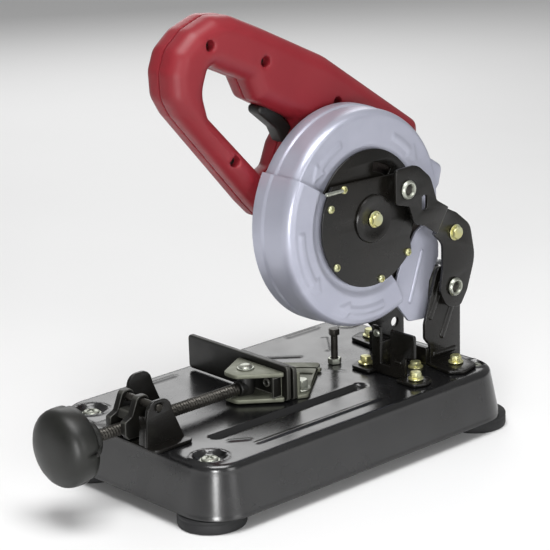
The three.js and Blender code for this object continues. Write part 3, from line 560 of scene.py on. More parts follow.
def surface_net(field, origin, step):
    """A quad mesh of a sampled field's zero level, one vertex in each cell that it crosses."""
    inside = field < 0
    cells = tuple(size - 1 for size in field.shape)

    def corner(values, offset):
        return values[tuple(slice(o, o + n) for o, n in zip(offset, cells))]

    total = np.zeros((*cells, 3))
    count = np.zeros(cells)
    for axis in range(3):
        for side in range(4):
            first = [side & 1, side >> 1]
            first.insert(axis, 0)
            second = list(first)
            second[axis] = 1
            low, high = corner(field, first), corner(field, second)
            crossing = corner(inside, first) != corner(inside, second)
            share = np.where(crossing, low / np.where(crossing, low - high, 1), 0)
            for k in range(3):
                total[..., k] += np.where(crossing, first[k] + (share if k == axis else 0), 0)
            count += crossing
    active = count > 0
    index = np.full(cells, -1)
    index[active] = np.arange(active.sum())
    points = (np.argwhere(active) + total[active] / count[active][:, None]) * step + origin
    made = bmesh.new()
    verts = [made.verts.new(point) for point in points]
    for axis in range(3):
        u, v = (axis + 1) % 3, (axis + 2) % 3
        low_cut = [slice(1, -1)] * 3
        low_cut[axis] = slice(0, -1)
        high_cut = [slice(1, -1)] * 3
        high_cut[axis] = slice(1, None)
        low, high = inside[tuple(low_cut)], inside[tuple(high_cut)]
        for place in np.argwhere(low != high):
            cell = place.copy()
            cell[u] += 1
            cell[v] += 1
            corners = []
            for du, dv in ((1, 1), (0, 1), (0, 0), (1, 0)):
                around = cell.copy()
                around[u] -= du
                around[v] -= dv
                corners.append(verts[index[tuple(around)]])
            made.faces.new(corners if low[tuple(place)] else list(reversed(corners)))
    return made


# ---------- base ----------

TRAY_WALL = 40.5  # mm from the top plate to the rim
EDGE = 5.0  # mm radius of the edge round the top plate
CORNER = 26.0
HALF_X, HALF_Y = 95.0, 156.0
FLARE = 7.0
TRAY_SHEET = 1.2
PLATE_STEP = 1.6  # mm between the points of the pressed top plate
FEET = {
    "front_left": (-70, -138, 12.0),
    "front_right": (70, -138, 12.0),
    "rear_left": (-74, 143, 8.5),
    "rear_right": (74, 143, 8.5),
}
RIBS = [
    # raised ribs in the top plate: start, end, width, height
    ((-3, 49), (11, 58), 6, 0.35),
    ((-81, -44), (-81, -70), 6, 1.1),
    ((-35, -130), (-73, -97), 7, 1.2),
    ((-58, 37), (-41, 57), 6, 1.1),
    ((-80, 0), (-62, 30), 7, 1.2),
    ((76, -96), (76, 30), 6, 1.0),
    ((-84, 84), (-84, 118), 6, 1.0),
    ((-60, 104), (-36, 84), 6, 1.0),
    ((58, -108), (66, -96), 6, 1.0),
]


def smooth(value, low, high):
    share = min(max((value - low) / (high - low), 0), 1)
    return share * share * (3 - 2 * share)


def segment_distance(x, y, start, end):
    dx, dy = end[0] - start[0], end[1] - start[1]
    along = min(max(((x - start[0]) * dx + (y - start[1]) * dy) / (dx * dx + dy * dy), 0), 1)
    return math.hypot(x - start[0] - along * dx, y - start[1] - along * dy)


def tray_height(x, y):
    """The pressed shape of the top plate."""
    height = -6.0 * (1 - smooth(segment_distance(x, y, (43, -108), (43, 42)), 2.6, 6.4))
    for px, py, radius in FEET.values():
        far = math.hypot(x - px, y - py)
        height -= 3.6 * (1 - smooth(far, radius - 2.4, radius + 0.6))
        height += 1.0 * smooth(far, radius - 0.5, radius + 1) * (1 - smooth(far, radius + 2, radius + 4))
    for start, end, width, rise in RIBS:
        height += rise * (1 - smooth(segment_distance(x, y, start, end), width / 2 - 2.2, width / 2 + 0.4))
    return height


def base_tray():
    made = bmesh.new()
    flat_x, flat_y, turn = HALF_X - EDGE, HALF_Y - EDGE, CORNER - EDGE
    columns, lines = round(2 * flat_x / PLATE_STEP), round(2 * flat_y / PLATE_STEP)

    def on_plate(i, k):
        x = -flat_x + 2 * flat_x * i / columns
        y = -flat_y + 2 * flat_y * k / lines
        s, t = abs(x) - (flat_x - turn), abs(y) - (flat_y - turn)
        if s > 0 and t > 0:
            shrink = max(s, t) / math.hypot(s, t)
            x = math.copysign(flat_x - turn + s * shrink, x)
            y = math.copysign(flat_y - turn + t * shrink, y)
        return x, y

    rows = []
    for i in range(columns + 1):
        row = []
        for k in range(lines + 1):
            x, y = on_plate(i, k)
            row.append(made.verts.new((x, y, tray_height(x, y))))
        rows.append(row)
    for i in range(columns):
        for k in range(lines):
            made.faces.new((rows[i][k], rows[i + 1][k], rows[i + 1][k + 1], rows[i][k + 1]))
    edge = [rows[i][0] for i in range(columns + 1)]
    edge += [rows[columns][k] for k in range(1, lines + 1)]
    edge += [rows[i][lines] for i in range(columns - 1, -1, -1)]
    edge += [rows[0][k] for k in range(lines - 1, 0, -1)]
    walls = []
    for k in range(1, 7):
        lift = math.radians(90 * k / 6)
        walls.append((EDGE * math.sin(lift), -EDGE * (1 - math.cos(lift))))
    slope = FLARE / (TRAY_WALL - EDGE)
    for z in (-8, -12, -16, -20, -24, -28, -32, -36, -37.8):
        walls.append((EDGE + (-z - EDGE) * slope, z))
    lip = EDGE + FLARE
    rim_z = -TRAY_WALL
    walls += [(lip - 0.1, rim_z + 1.3), (lip, rim_z + 0.5), (lip - 0.5, rim_z)]
    walls += [(lip - 0.5 - TRAY_SHEET, rim_z), (lip - 2.2, rim_z + 0.9)]
    previous = edge
    for out, z in walls:
        loop = []
        for vertex in edge:
            x, y = vertex.co.x, vertex.co.y
            centre_x = min(max(x, turn - flat_x), flat_x - turn)
            centre_y = min(max(y, turn - flat_y), flat_y - turn)
            normal = Vector((x - centre_x, y - centre_y)).normalized()
            loop.append(made.verts.new((x + normal.x * out, y + normal.y * out, z)))
        for k in range(len(edge)):
            n = (k + 1) % len(edge)
            made.faces.new((previous[k], loop[k], loop[n], previous[n]))
        previous = loop
    inner = bmesh.ops.extrude_edge_only(
        made, edges=[edge for edge in made.edges if edge.is_boundary]
    )["geom"]
    for vertex in [v for v in inner if isinstance(v, bmesh.types.BMVert)]:
        vertex.co.z = -EDGE
        vertex.co.x *= (HALF_X - TRAY_SHEET) / (HALF_X + FLARE - 2.2)
        vertex.co.y *= (HALF_Y - TRAY_SHEET) / (HALF_Y + FLARE - 2.2)
    rim = [edge for edge in made.edges if edge.is_boundary]
    bmesh.ops.triangle_fill(made, use_beauty=True, edges=rim)
    return made


build("tray_shell", base_tray(), "frame", "black_enamel", "base_tray", 50)

for place, (x, y, dimple) in FEET.items():
    side = [(25.6, 0.5), (26, 1.6), (26, 6.6), (25.7, 7.2), (25.7, 7.8), (26, 8.4), (26, 9.6), (25.6, 10.4)]
    sole = [(0, 1.2), (17, 1.2), (18, 0), (24.6, 0)]
    foot = [(radius, FLOOR_Z + up) for radius, up in sole + side + [(24.6, 10.7), (9, 10.7)]]
    foot += [(9, -6.2), (0, -6.2)]
    build(
        "rubber_foot_" + place, turned(foot, (x, y, 0), "z", 72), "frame",
        "black_rubber", "foot_" + place,
    )
    washer = [
        (3, -3.3), (dimple * 0.62, -3.3), (dimple * 0.66, -2.9), (dimple * 0.62, -2.4), (3, -2.2),
    ]
    screw = joined(
        turned(washer, (x, y, 0), "z", 48),
        turned(rod_profile(2.4, -20, -2.3), (x, y, 0), "z", 20),
        screw_head((x, y, -2.4), "z", 6.4, 2.3),
    )
    build("foot_bolt_" + place, screw, "frame", "zinc_plate", "foot_screw_" + place, 30)

# ---------- vise ----------

EAR = [
    (-164, 0.4, 1), (-127, 0.4, 1), (-138, 26, 6), (-141, 37, 9), (-160, 37, 9), (-163, 24, 4),
]
STAGGER = 28.0  # mm that the left ear stands behind the right one
pin_hole = ring(NUT_PIN.y, NUT_PIN.z, 3.35, 24)
left_ear = plate([rounded(EAR, 8)], -30, -27, "x", 0.6)
left_ear.transform(Matrix.Translation((0, STAGGER, 0)))
BRACKET_PLAN = [
    (-40, -164, 4), (40, -164, 4), (40, -127, 4), (27, -127, 1), (27, -148, 2), (-27, -148, 2),
    (-27, -99, 1), (-40, -99, 4),
]


def ear_flange(front, rear, y_shift, x0, x1):
    """A narrow flange along one sloping edge of an ear."""
    (y0, z0), (y1, z1) = front, rear
    made = plate([[(y0, z0), (y0 + 2.4, z0), (y1 + 2.4, z1), (y1, z1)]], x0, x1, "x", 0.5)
    made.transform(Matrix.Translation((0, y_shift, 0)))
    return made


vise_bracket = joined(
    plate([rounded(EAR, 8), pin_hole], 27, 30, "x", 0.6),
    left_ear,
    plate([rounded(BRACKET_PLAN)], 0.4, 2.85, "z", 0.6),
    ear_flange((-163.6, 3), (-162.4, 25), 0, 20, 29),
    ear_flange((-130.6, 3), (-139.4, 25), 0, 20, 29),
    ear_flange((-163.6, 3), (-162.4, 25), STAGGER, -37, -28),
    ear_flange((-130.6, 3), (-139.4, 25), STAGGER, -37, -28),
)
build("vise_ears", vise_bracket, "frame", "black_gloss_paint", "vise_bracket")
nut_pin = [
    (0, -14), (2.6, -14), (3, -13.6), (3, 30.2), (2.6, 30.8), (0, 31),
]
build(
    "vise_nut_pin", turned(nut_pin, (0, NUT_PIN.y, NUT_PIN.z), "x", 24), "frame",
    "oiled_steel", "half_nut_pin",
)


def thread(pitch, depth, starts=1):
    def shape(angle, radius, distance):
        turn = (distance / pitch - starts * angle / (2 * math.pi)) % 1
        return radius - depth * (1 - abs(2 * turn - 1))

    return shape


screw_low, screw_high = local_box("vise_screw")
steps = 280
threaded = [(0, -screw_high.y)]
for k in range(steps + 1):
    threaded.append((5, -screw_high.y + 4 + (screw_high.y - screw_low.y - 5) * k / steps))
threaded += [(5, -screw_low.y), (0, -screw_low.y)]
vise_screw = joined(
    turned(threaded, (0, 0, SCREW_Z), "y", 28, thread(2.5, 0.75, 2)),
    turned(sleeve_profile(5, 7.4, 152, 158, 0.8), (0, 0, SCREW_Z), "y", 36),
)
build("vise_lead_screw", vise_screw, "screw", "oiled_steel", "vise_screw", 25)


def knob_lobes(angle, radius, distance):
    if radius < 22:
        return radius
    share = 1 - smooth(distance, 209, 218)
    notch = max(0, math.cos(3.5 * angle)) ** 24
    return radius - 3.4 * share * notch


KNOB_PROFILE = [  # radius and distance in front of the datum
    (0, 232), (7, 231.8), (14, 230.9), (20, 229.3), (24, 227.4), (27, 225), (28.8, 222.4),
    (29.7, 219.4), (30, 216), (30, 212), (29.8, 208.5), (28.9, 206.2), (27, 205.2), (24, 205),
    (20, 204.9), (16.6, 204.4), (14.8, 203), (14.2, 201), (13.9, 197), (14.1, 194), (14.3, 192.6),
    (14.1, 192), (12.9, 191.9), (12.4, 192.6), (12.2, 199), (11.6, 201.6), (0, 201.8),
]
build(
    "vise_hand_knob", turned(KNOB_PROFILE, (0, 0, SCREW_Z), "y", 126, knob_lobes), "screw",
    "knob_plastic", "vise_knob", 50,
)

NUT_SIDE = [
    (-169, 9, 1), (-166, 5, 1), (-149, 5, 1), (-144, 22, 3), (-146, 36, 4), (-156, 36, 4),
    (-162, 22, 3), (-169, 19, 2),
]
half_nut = joined(
    plate([rounded(NUT_SIDE), ring(NUT_PIN.y, NUT_PIN.z, 3.3, 24)], 5.8, 11.8, "x", 0.9),
    plate([rounded(NUT_SIDE), ring(NUT_PIN.y, NUT_PIN.z, 3.3, 24)], -11.8, -5.8, "x", 0.9),
    plate([rounded([(-162, 17, 1), (-150, 17, 1), (-146, 24, 2), (-160, 24, 2)])], -6.5, 6.5, "x", 0.8),
)
build("vise_half_nut", half_nut, "half_nut", "black_satin_paint", "half_nut")

boss = joined(
    turned(
        [(3.3, 5.4), (5.9, 5.2), (6.5, 6), (6.5, 20.4), (5.9, 21.3), (3.3, 21.5)],
        (0, JAW_PIN.y, 0), "z", 40,
    ),
    turned(sleeve_profile(3.2, 6.2, 41, 48, 0.6), (0, 0, SCREW_Z), "y", 36),
)
build("jaw_swivel_boss", boss, "vise_slide", "black_plastic", "jaw_boss")
rivet = [
    (0, 1.1), (3, 1.1), (3, 25.4), (6.6, 25.4), (6.9, 25.8), (6.6, 26.3), (5.6, 26.4), (5.4, 27.2),
    (4, 28.4), (2, 28.8), (0, 28.8),
]
build(
    "jaw_rivet", turned(rivet, (0, JAW_PIN.y, 0), "z", 40), "vise_slide", "zinc_plate",
    "jaw_pin", 30,
)

jaw_plate = joined(
    plate([rectangle(-86, 32, 1.5, 30, 3.5)], -24.5, -20.5, "y", 0.9),
)
build("jaw_face_plate", jaw_plate, "jaw", "black_satin_paint", "jaw_plate")
CHEEK = [(-24, -24.9, 2), (-7, -56, 6), (7, -56, 6), (32, -24.9, 2)]
jaw_hole = ring(0, JAW_PIN.y, 3.35, 24)
carrier = joined(
    plate([rounded(CHEEK), jaw_hole], 1.6, 4.8, "z", 0.6),
    plate([rounded(CHEEK), jaw_hole], 22, 25.2, "z", 0.6),
    plate([rectangle(-22, 26, 1.8, 25, 1)], -25.5, -24.9, "y", 0.2),
)
build("jaw_gusset", carrier, "jaw", "dull_zinc", "jaw_carrier")
web = joined(
    plate([rectangle(-22, 26, 4.9, 21.9, 1)], -28, -25.6, "y", 0.6),
    plate([rectangle(-34, -25.6, 4.9, 21.9, 1)], 24, 26.2, "x", 0.5),
)
web = joined(web, turned(sleeve_profile(2.2, 3.4, 28, 30, 0.4), (13, 0, 14), "y", 28))
build("jaw_web", web, "jaw", "black_satin_paint")

# ---------- fence ----------

build(
    "fence_face_plate", plate([rectangle(-33, 31, 0.4, 27, 3)], -17, -13, "y", 0.9), "fence",
    "black_satin_paint", "fence_plate",
)
FENCE_PLAN = [
    (-31, -12.6, 1), (31, -12.6, 1), (34.5, -5, 3), (-12, 53, 4), (-37, 30, 4), (-37, 2, 3),
]


def arc_slot(inner, outer, start, end):
    out = arc(PIVOT.x, PIVOT.y, outer, start, end, 12)
    return out + arc(PIVOT.x, PIVOT.y, inner, end, start, 12)


fence_foot = joined(
    plate(
        [
            rounded(FENCE_PLAN), ring(PIVOT.x, PIVOT.y, 3.35, 24),
            arc_slot(48, 52, 118, 144), arc_slot(34, 38, 122, 140),
        ],
        0.4, 3.4, "z", 0.6,
    ),
    plate([rectangle(-31, 31, 0.6, 22, 1)], -12.6, -9.8, "y", 0.6),
    plate([[(-9.9, 3.2), (8, 3.2), (-9.9, 18)]], -24, -21.4, "x", 0.4),
    plate([[(-9.9, 3.2), (-9.8, 18), (2, 3.2)]], 8, 10.6, "x", 0.4),
)
build("fence_angle_foot", fence_foot, "fence", "dull_zinc", "fence_foot")
build(
    "fence_flange_bolt", flange_bolt((PIVOT.x, PIVOT.y, 3.75), "z", 10, 3, 12, 7.9), "frame",
    "zinc_plate", "fence_pivot_bolt", 30,
)

# ---------- depth stop ----------

stop_rows = [(0, -24)] + [(3, -23.6 + 48 * k / 120) for k in range(121)] + [(3, 25), (0, 25)]
stop = joined(
    turned(stop_rows, (STOP.x, STOP.y, 0), "z", 24, thread(1.0, 0.35)),
    hexagon_head(8, 25, 30, (STOP.x, STOP.y, 0), "z"),
)
build("stop_screw", stop, "depth_stop", "oiled_steel", "depth_stop_screw", 30)
stop_nut = joined(
    plate(
        [
            [(STOP.x + 5.7 * math.cos(math.radians(60 * k)), STOP.y + 5.7 * math.sin(math.radians(60 * k)))
             for k in range(6)],
            ring(STOP.x, STOP.y, 3.35, 24),
        ],
        0.4, 4.9, "z", 0.4,
    ),
)
build("stop_lock_nut", stop_nut, "frame", "zinc_plate", "depth_stop_nut")

# ---------- rear bracket ----------

CHEEK_SIDE = [
    (115, 0.4, 1), (151, 0.4, 1), (151, 42, 4), (154.5, 62, 12), (146, 81.6, 12), (124, 81, 8),
    (109, 36, 6), (109, 24, 4), (115, 17, 3),
]
hinge_hole = ring(HINGE.y, HINGE.z, 5.35, 28)
BOLTS = {
    "front_left": (16, 77),
    "front_right": (72, 77),
    "rear_left": (-30, 128),
    "rear_right": (68, 128),
}
holes = {name: ring(x, y, 3.5, 20) for name, (x, y) in BOLTS.items()}
near_foot = [(50, 112, 1), (78, 108.5, 4), (87, 118, 5), (82, 138, 5), (50, 145, 1)]
far_foot = [(-13, 145, 1), (-40, 141, 5), (-43.5, 128, 5), (-40, 115, 5), (-13, 112, 1)]
bracket = joined(
    plate([rounded(CHEEK_SIDE), hinge_hole], 49, 52, "x", 0.7),
    plate([rounded(CHEEK_SIDE), hinge_hole, ring(140, 17, 4, 20)], -15, -12, "x", 0.7),
    plate([rectangle(-14, 51, 0.5, 15.5, 1)], 111, 115, "y", 0.6),
    plate([rounded(near_foot), holes["rear_right"]], 0.4, 3.3, "z", 0.7),
    plate([rounded(far_foot), holes["rear_left"]], 0.4, 3.3, "z", 0.7),
    rib((129, 69), (114.5, 39), 6, 1.3, 52, "x"),
    rib((142, 49), (128, 20), 6, 1.3, 52, "x"),
    rib((118, 8), (146, 8), 5, 1.0, 52, "x"),
    rib((-15, 137), (-36, 137), 4, 1.0, 3.2),
)
build(
    "hinge_bracket", bracket, "frame", "black_gloss_paint", "pivot_bracket",
)
SPARK_FRONT = [
    (27, 0.4, 0.5), (64, 0.4, 0.5), (64, 20, 2), (74, 20, 2), (74, 40, 2), (47.5, 40, 1),
    (47.5, 9, 1), (36.5, 9, 1), (36.5, 40, 1), (27, 40, 2),
]
right_foot = [(60, 73, 0.5), (60, 66, 2), (80, 66, 5), (84.5, 77, 4), (80, 88, 5), (60, 86, 2)]
left_foot = [(30, 73.2, 0.5), (30, 88, 2), (10, 88, 4), (6.3, 77, 4), (10, 66, 4), (30, 66, 2)]
spark = joined(
    plate([rounded(SPARK_FRONT)], 73.2, 76, "y", 0.7),
    plate([rectangle(76, 100, 0.4, 24, 2)], 27, 29.6, "x", 0.7),
    plate([rounded(right_foot), holes["front_right"]], 0.4, 3, "z", 0.7),
    plate([rounded(left_foot), holes["front_left"]], 0.4, 3, "z", 0.7),
    rib((52, 14), (60, 14), 3, 0.8, -73.2, "y"),
)
build("spark_stop_plate", spark, "frame", "black_gloss_paint", "spark_plate")
for name, (x, y) in BOLTS.items():
    build(
        "flange_bolt_" + name, flange_bolt((x, y, 3.75), "z", 8, 3, 12, 5.9), "frame",
        "yellow_zinc", "bracket_bolt_" + name, 30,
    )
build(
    "flange_bolt_middle", flange_bolt((46, 104, 0.1), "z", 8, 3, 6, 5.2), "frame",
    "yellow_zinc", (), 30,
)
build(
    "spark_plate_screw", screw_head((33, 73.3, 34), "y", 3.2, 2), "frame", "zinc_plate", (), 30,
)
hinge_profile = [
    (0, -18), (7, -18), (8, -17), (8, -15.6), (5, -15.4), (5, 58.9), (7.2, 58.9), (7.6, 59.5),
    (7.2, 60.9), (6.1, 61.9), (5.2, 61.6), (4.6, 60.4), (4.2, 58.6), (0, 58.6),
]
build(
    "hinge_rivet", turned(hinge_profile, AT_HINGE, "x", 48), "frame", "zinc_plate",
    "hinge_pin", 35,
)
build(
    "hinge_rivet_core",
    turned(rivet_core(4, 58.7), AT_HINGE, "x", 32),
    "frame", "oiled_steel", (), 30,
)


# ---------- guards ----------


def arrow(radius, angle, middle, start, end):
    """How far a pressed direction arrow along an arc lifts the surface, from 0 to 1."""
    along = math.radians(angle - start) * middle * (1 if end > start else -1)
    length = math.radians(abs(end - start)) * middle
    head = 13
    if along < -1 or along > length:
        return 0
    half = 2.6 if along < length - head else 6.6 * (length - along) / head
    across = abs(radius - middle)
    return smooth(half + 0.6 - across, 0, 1.4) * smooth(along, -1, 0.8)


def shell_profile(outer, face, inner_x, hub, sheet, steps, back=None):
    """A closed (radius, x) section: stepped rim, rounded edge and a face that dips at the hub."""
    bow, drop = 9.0, 5.0
    top = outer - 1.0
    outside = [(outer, inner_x + 0.5), (outer, inner_x + 9), (outer - 0.1, inner_x + 11)]
    outside += [(outer - 0.9, inner_x + 12), (top, inner_x + 13)]
    outside += [(top, inner_x + 16 + 4 * k) for k in range(int((face - inner_x - 26) / 4) + 1)]
    for k in range(13):
        lift = math.radians(90 * k / 12)
        outside.append((top - drop * (1 - math.cos(lift)), face - bow + bow * math.sin(lift)))
    radius = top - drop - 1.4
    while radius > hub + 1:
        outside.append((radius, face - steps(radius)))
        radius -= 1.4
    outside.append((hub, face - steps(hub)))
    turn_x = face - bow + 0.1
    inside = []
    for r, x in reversed(outside):
        if x <= turn_x:
            inside.append((r - sheet, x))
        elif x - sheet <= turn_x:
            inside.append((r, x - sheet))
        else:
            inside.append((min(r, top - sheet - 0.5), x - sheet))
    if back:
        inside += [(outer - sheet, inner_x + sheet), (back, inner_x + sheet), (back, inner_x)]
        outside[0] = (outer, inner_x + 1.4)
        outside.insert(0, (outer - 1.2, inner_x))
    else:
        inside.append((outer - sheet, inner_x + 0.5))
    return outside + inside


def moving_face(radius):
    return 1.2 * (1 - smooth(radius, 57, 62)) - 0.8 * smooth(radius, 59, 63)


def fixed_face(radius):
    return 0.9 * smooth(radius, 50, 51) * (1 - smooth(radius, 53, 58))


SWING_RADIUS, SWING_FACE, SWING_BACK = 88.0, local_box("lower_guard")[1].x, 16.0
GUARD_RADIUS, GUARD_FACE, GUARD_BACK = 84.5, local_box("upper_guard")[1].x, 15.5


def moving_emboss(radius, angle, x):
    if x < SWING_FACE - 1.3:
        return 0
    lift = arrow(radius, angle, 73, 178, 222)
    lift = max(lift, arrow(radius, angle, 73, 280, 240))
    return 0.9 * lift


def fixed_emboss(radius, angle, x):
    if x < GUARD_FACE - 1.3:
        return 0
    lift = arrow(radius, angle, 66, 112, 146)
    lift = max(lift, arrow(radius, angle, 66, 62, 30))
    return 0.8 * lift


def relieved(made):
    """Trims the moving guard's rim short over its last degrees, where it passes the fence."""
    for vertex in made.verts:
        y, z = vertex.co.y - ARBOR.y, vertex.co.z - ARBOR.z
        angle = math.degrees(math.atan2(z, y)) % 360
        least = SWING_BACK + 18.4 * smooth(angle, 281, 284)
        if angle > 280 and vertex.co.x < least:
            vertex.co.x = least
    return made


moving = swept(
    shell_profile(SWING_RADIUS, SWING_FACE, SWING_BACK, 44, 1.6, moving_face),
    149.5, 295, ARBOR, 130, moving_emboss,
)
build("swing_guard_shell", relieved(moving), "moving_guard", "silver_paint",
      "lower_guard", 48)
fixed = swept(
    shell_profile(GUARD_RADIUS, GUARD_FACE, GUARD_BACK, 50, 2.0, fixed_face, 19.5),
    -12, 168, ARBOR, 150, fixed_emboss,
)
BUMP = [(112, 128, 1), (130.5, 148, 3), (134.5, 163, 6), (122, 171, 4), (110, 174, 1)]
bump = plate([rounded(BUMP)], 16, GUARD_FACE - 0.6, "x", 3.0, 5)
build("fixed_guard_shell", joined(fixed, bump), "head", "silver_paint",
      "upper_guard", 48)

cover_slot = arc(ARBOR.y, ARBOR.z, 43, 52, 80, 10) + arc(ARBOR.y, ARBOR.z, 36, 80, 52, 10)
cover = plate([ring(ARBOR.y, ARBOR.z, 53.5, 96), cover_slot], 49.9, 51.8, "x", 0.5)
build("fixed_guard_cover", cover, "head", "black_gloss_paint", "guard_cover")

hub_outline = arc(ARBOR.y, ARBOR.z, 54, 142, 322, 74) + arc(ARBOR.y, ARBOR.z, 46, 332, 402, 30)
hub_hole = ring(ARBOR.y, ARBOR.z, 4.35, 24)
disc = [
    (4.4, 57.4), (18.4, 57.4), (19, 57.8), (19, 59), (18.2, 59.8), (13, 59.8), (12.4, 59.5), (4.4, 59.5),
]
hub = joined(
    plate([hub_outline, hub_hole], 55.3, 57.6, "x", 0.6),
    turned(disc, AT_ARBOR, "x", 64),
)
build("swing_guard_hub", hub, "moving_guard", "black_gloss_paint", "guard_hub")
hub_screws = [
    screw_head((57.6, y, z), "x", 3.1, 2.4)
    for y, z in ((15, 168), (1, 155.5), (6, 108.5), (54, 89), (84, 104))
]
build("swing_guard_hub_screws", joined(*hub_screws), "moving_guard", "yellow_zinc",
      (), 30)
stop_rod = turned(rod_profile(1.5, -13, 5, 0.4), (58.8, 0, 168), "y", 20)
build("swing_guard_stop_rod", stop_rod, "moving_guard", "zinc_plate")

LEAF = [
    (117, 39, 4), (96, 41, 6), (84, 56, 6), (80.3, 74, 6), (88, 92, 4), (105, 114, 3),
    (118, 120.4, 2), (131, 100, 6), (131, 88, 6), (120, 70, 4),
]
leaf = joined(
    plate([rounded(LEAF)], 44, 46.8, "x", 0.7),
    rib((97, 56), (112, 98), 4, 1.0, 46.8, "x"),
)
build("spark_leaf_plate", leaf, "head", "silver_paint", "spark_leaf")

ARM_OUTLINE = [
    (128, 49, 8), (144, 44.5, 7), (152.5, 57, 10), (162, 84, 30), (156, 112, 16), (140, 125, 8),
    (127, 131.5, 4), (108, 143, 5), (101, 163, 16), (86, 175.8, 15), (62.2, 175.8, 3), (62.2, 148, 3),
    (77, 144, 4), (82, 129, 6), (96, 124, 6), (112, 113, 4), (124, 102, 10), (124, 80, 20),
    (121, 62, 8),
]
arm_slot = rounded([(91, 138, 2.5), (97, 138, 2.5), (97, 150, 2.5), (91, 150, 2.5)])
arm = plate(
    [
        rounded(ARM_OUTLINE, 8), ring(HINGE.y, HINGE.z, 5.35, 28), ring(138, 109, 4.35, 24),
        ring(75, 158, 4.35, 24), arm_slot,
    ],
    55.4, 58.4, "x", 0.7,
)
arm = bend(arm, (0, 114, 111), (0, -20, 13), 8.0, (8.6, 0, 0))
build("guard_link_arm", arm, "head", "black_gloss_paint", "guard_arm", 34)
arm_bolt = joined(
    turned(rod_profile(4, 47.3, 59), (0, 138, 109), "x", 24),
    turned(sleeve_profile(4, 6.6, 58.5, 59.5, 0.4), (0, 138, 109), "x", 40),
    hexagon_head(10, 59.4, 62.3, (0, 138, 109), "x"),
)
build("guard_arm_hex_bolt", arm_bolt, "head", "yellow_zinc", "guard_arm_bolt", 30)
arm_pin = [
    (0, 60), (6, 60), (6, 63.6), (4, 63.7), (4, 67.1), (7.2, 67.1), (7.6, 67.8), (7.2, 69), (6, 69.9),
    (5, 69.6), (4.4, 68.4), (4, 67.2), (0, 67.2),
]
build("guard_arm_rivet", turned(arm_pin, (0, 75, 158), "x", 48), "head", "zinc_plate",
      "guard_arm_pin", 35)
build(
    "guard_arm_rivet_core",
    turned(rivet_core(3.9, 67.3), (0, 75, 158), "x", 32),
    "head", "oiled_steel", (), 30,
)
pivot_bolt = joined(
    turned(rod_profile(3, 49.4, 56), AT_ARBOR, "x", 24),
    turned(rod_profile(4, 52.3, 61), AT_ARBOR, "x", 24),
    turned(sleeve_profile(4, 6.6, 59.9, 60.9, 0.3), AT_ARBOR, "x", 40),
    hexagon_head(10, 60.8, 63.7, AT_ARBOR, "x"),
)
build("guard_hub_bolt", pivot_bolt, "head", "yellow_zinc", "guard_pivot_bolt", 30)

# ---------- handle ----------

SPLIT_X = -10.0
HALF_THICK = 21.0
ROUNDING = 13.0
VOXEL = 1.4
HANDLE = [
    (152, 177, 2), (150, 191, 5), (50, 258.5, 60), (-15, 290, 60), (-44, 303, 14), (-62, 305, 14),
    (-84, 297, 16), (-100, 284, 14), (-106, 268, 14), (-105, 248, 14), (-97, 234, 14), (-27, 153, 30),
    (-14, 140, 5),
]
saddle = arc(ARBOR.y, ARBOR.z, 31.9, 162, 99.4, 16) + arc(SHAFT.y, SHAFT.z, 34.9, 99.4, 62, 8)
WINDOW = [
    (-70, 231, 7), (-13, 171, 7), (2, 178, 3), (9, 195, 8), (22, 211, 6), (-23, 235, 2),
    (-31, 252, 3), (-68, 269, 5), (-75, 250, 20),
]
SCREWS = [(-71, 285), (-17, 265), (56, 222), (-49, 194)]


def handle_field():
    """Signed distance of one moulded half, sampled in depth from the seam, Y and Z."""
    depth = np.arange(-2, HALF_THICK / VOXEL + 3) * VOXEL - 0.2
    along = np.arange(-112, 160, VOXEL)
    height = np.arange(132, 314, VOXEL)
    y, z = np.meshgrid(along, height, indexing="ij")
    outline = rounded(HANDLE, 10) + saddle
    plan = np.maximum(outline_distance(outline, y, z), -outline_distance(rounded(WINDOW, 8), y, z))
    grip = np.clip((y + 20) / 70, 0, 1)
    thick = HALF_THICK - 1.0 + 1.0 * grip
    x = depth[:, None, None]
    over = plan[None] + ROUNDING
    out = x + ROUNDING - thick[None]
    field = np.minimum(np.maximum(over, out), 0)
    field = field + np.hypot(np.maximum(over, 0), np.maximum(out, 0)) - ROUNDING
    field = np.maximum(field, 0.35 - x)
    for sy, sz in SCREWS:
        hole = np.hypot(y - sy, z - sz)[None]
        field = np.maximum(field, np.minimum(4.3 - hole, x - (thick[None] - 9)))
    return field, (depth[0], along[0], height[0])


def handle_half(side):
    field, origin = handle_field()
    made = surface_net(field, np.array(origin), VOXEL)
    loose = [v for v in made.verts if v.co.x > 1.2]
    for _ in range(2):
        bmesh.ops.smooth_vert(made, verts=loose, factor=0.5, use_axis_x=True, use_axis_y=True,
                              use_axis_z=True)
    for vertex in made.verts:
        vertex.co.x = SPLIT_X + side * vertex.co.x
    if side < 0:
        bmesh.ops.reverse_faces(made, faces=made.faces)
    return made


build("handle_shell_right", handle_half(1), "head", "red_plastic", "handle_right", 42)
build("handle_shell_left", handle_half(-1), "head", "red_plastic", "handle_left", 42)
case_screws = [screw_head((SPLIT_X + HALF_THICK - 9.4, y, z), "x", 3.4, 2) for y, z in SCREWS]
build("handle_screws", joined(*case_screws), "head", "oiled_steel")

TRIGGER = [(-14, 229, 3), (-14, 223, 4), (4, 208, 8), (13, 190, 4), (21.4, 205, 4), (2, 227, 5)]
build("trigger_key", plate([rounded(TRIGGER, 8)], -17, -3, "x", 2.2, 4), "trigger",
      "black_plastic", "trigger", 40)

# ---------- motor and gear case ----------


def motor_ribs(angle, radius, distance):
    if radius < 33.9 or not 20 < -distance < 78:
        return radius
    return radius - 0.9 * max(0, math.cos(24 * angle)) ** 2


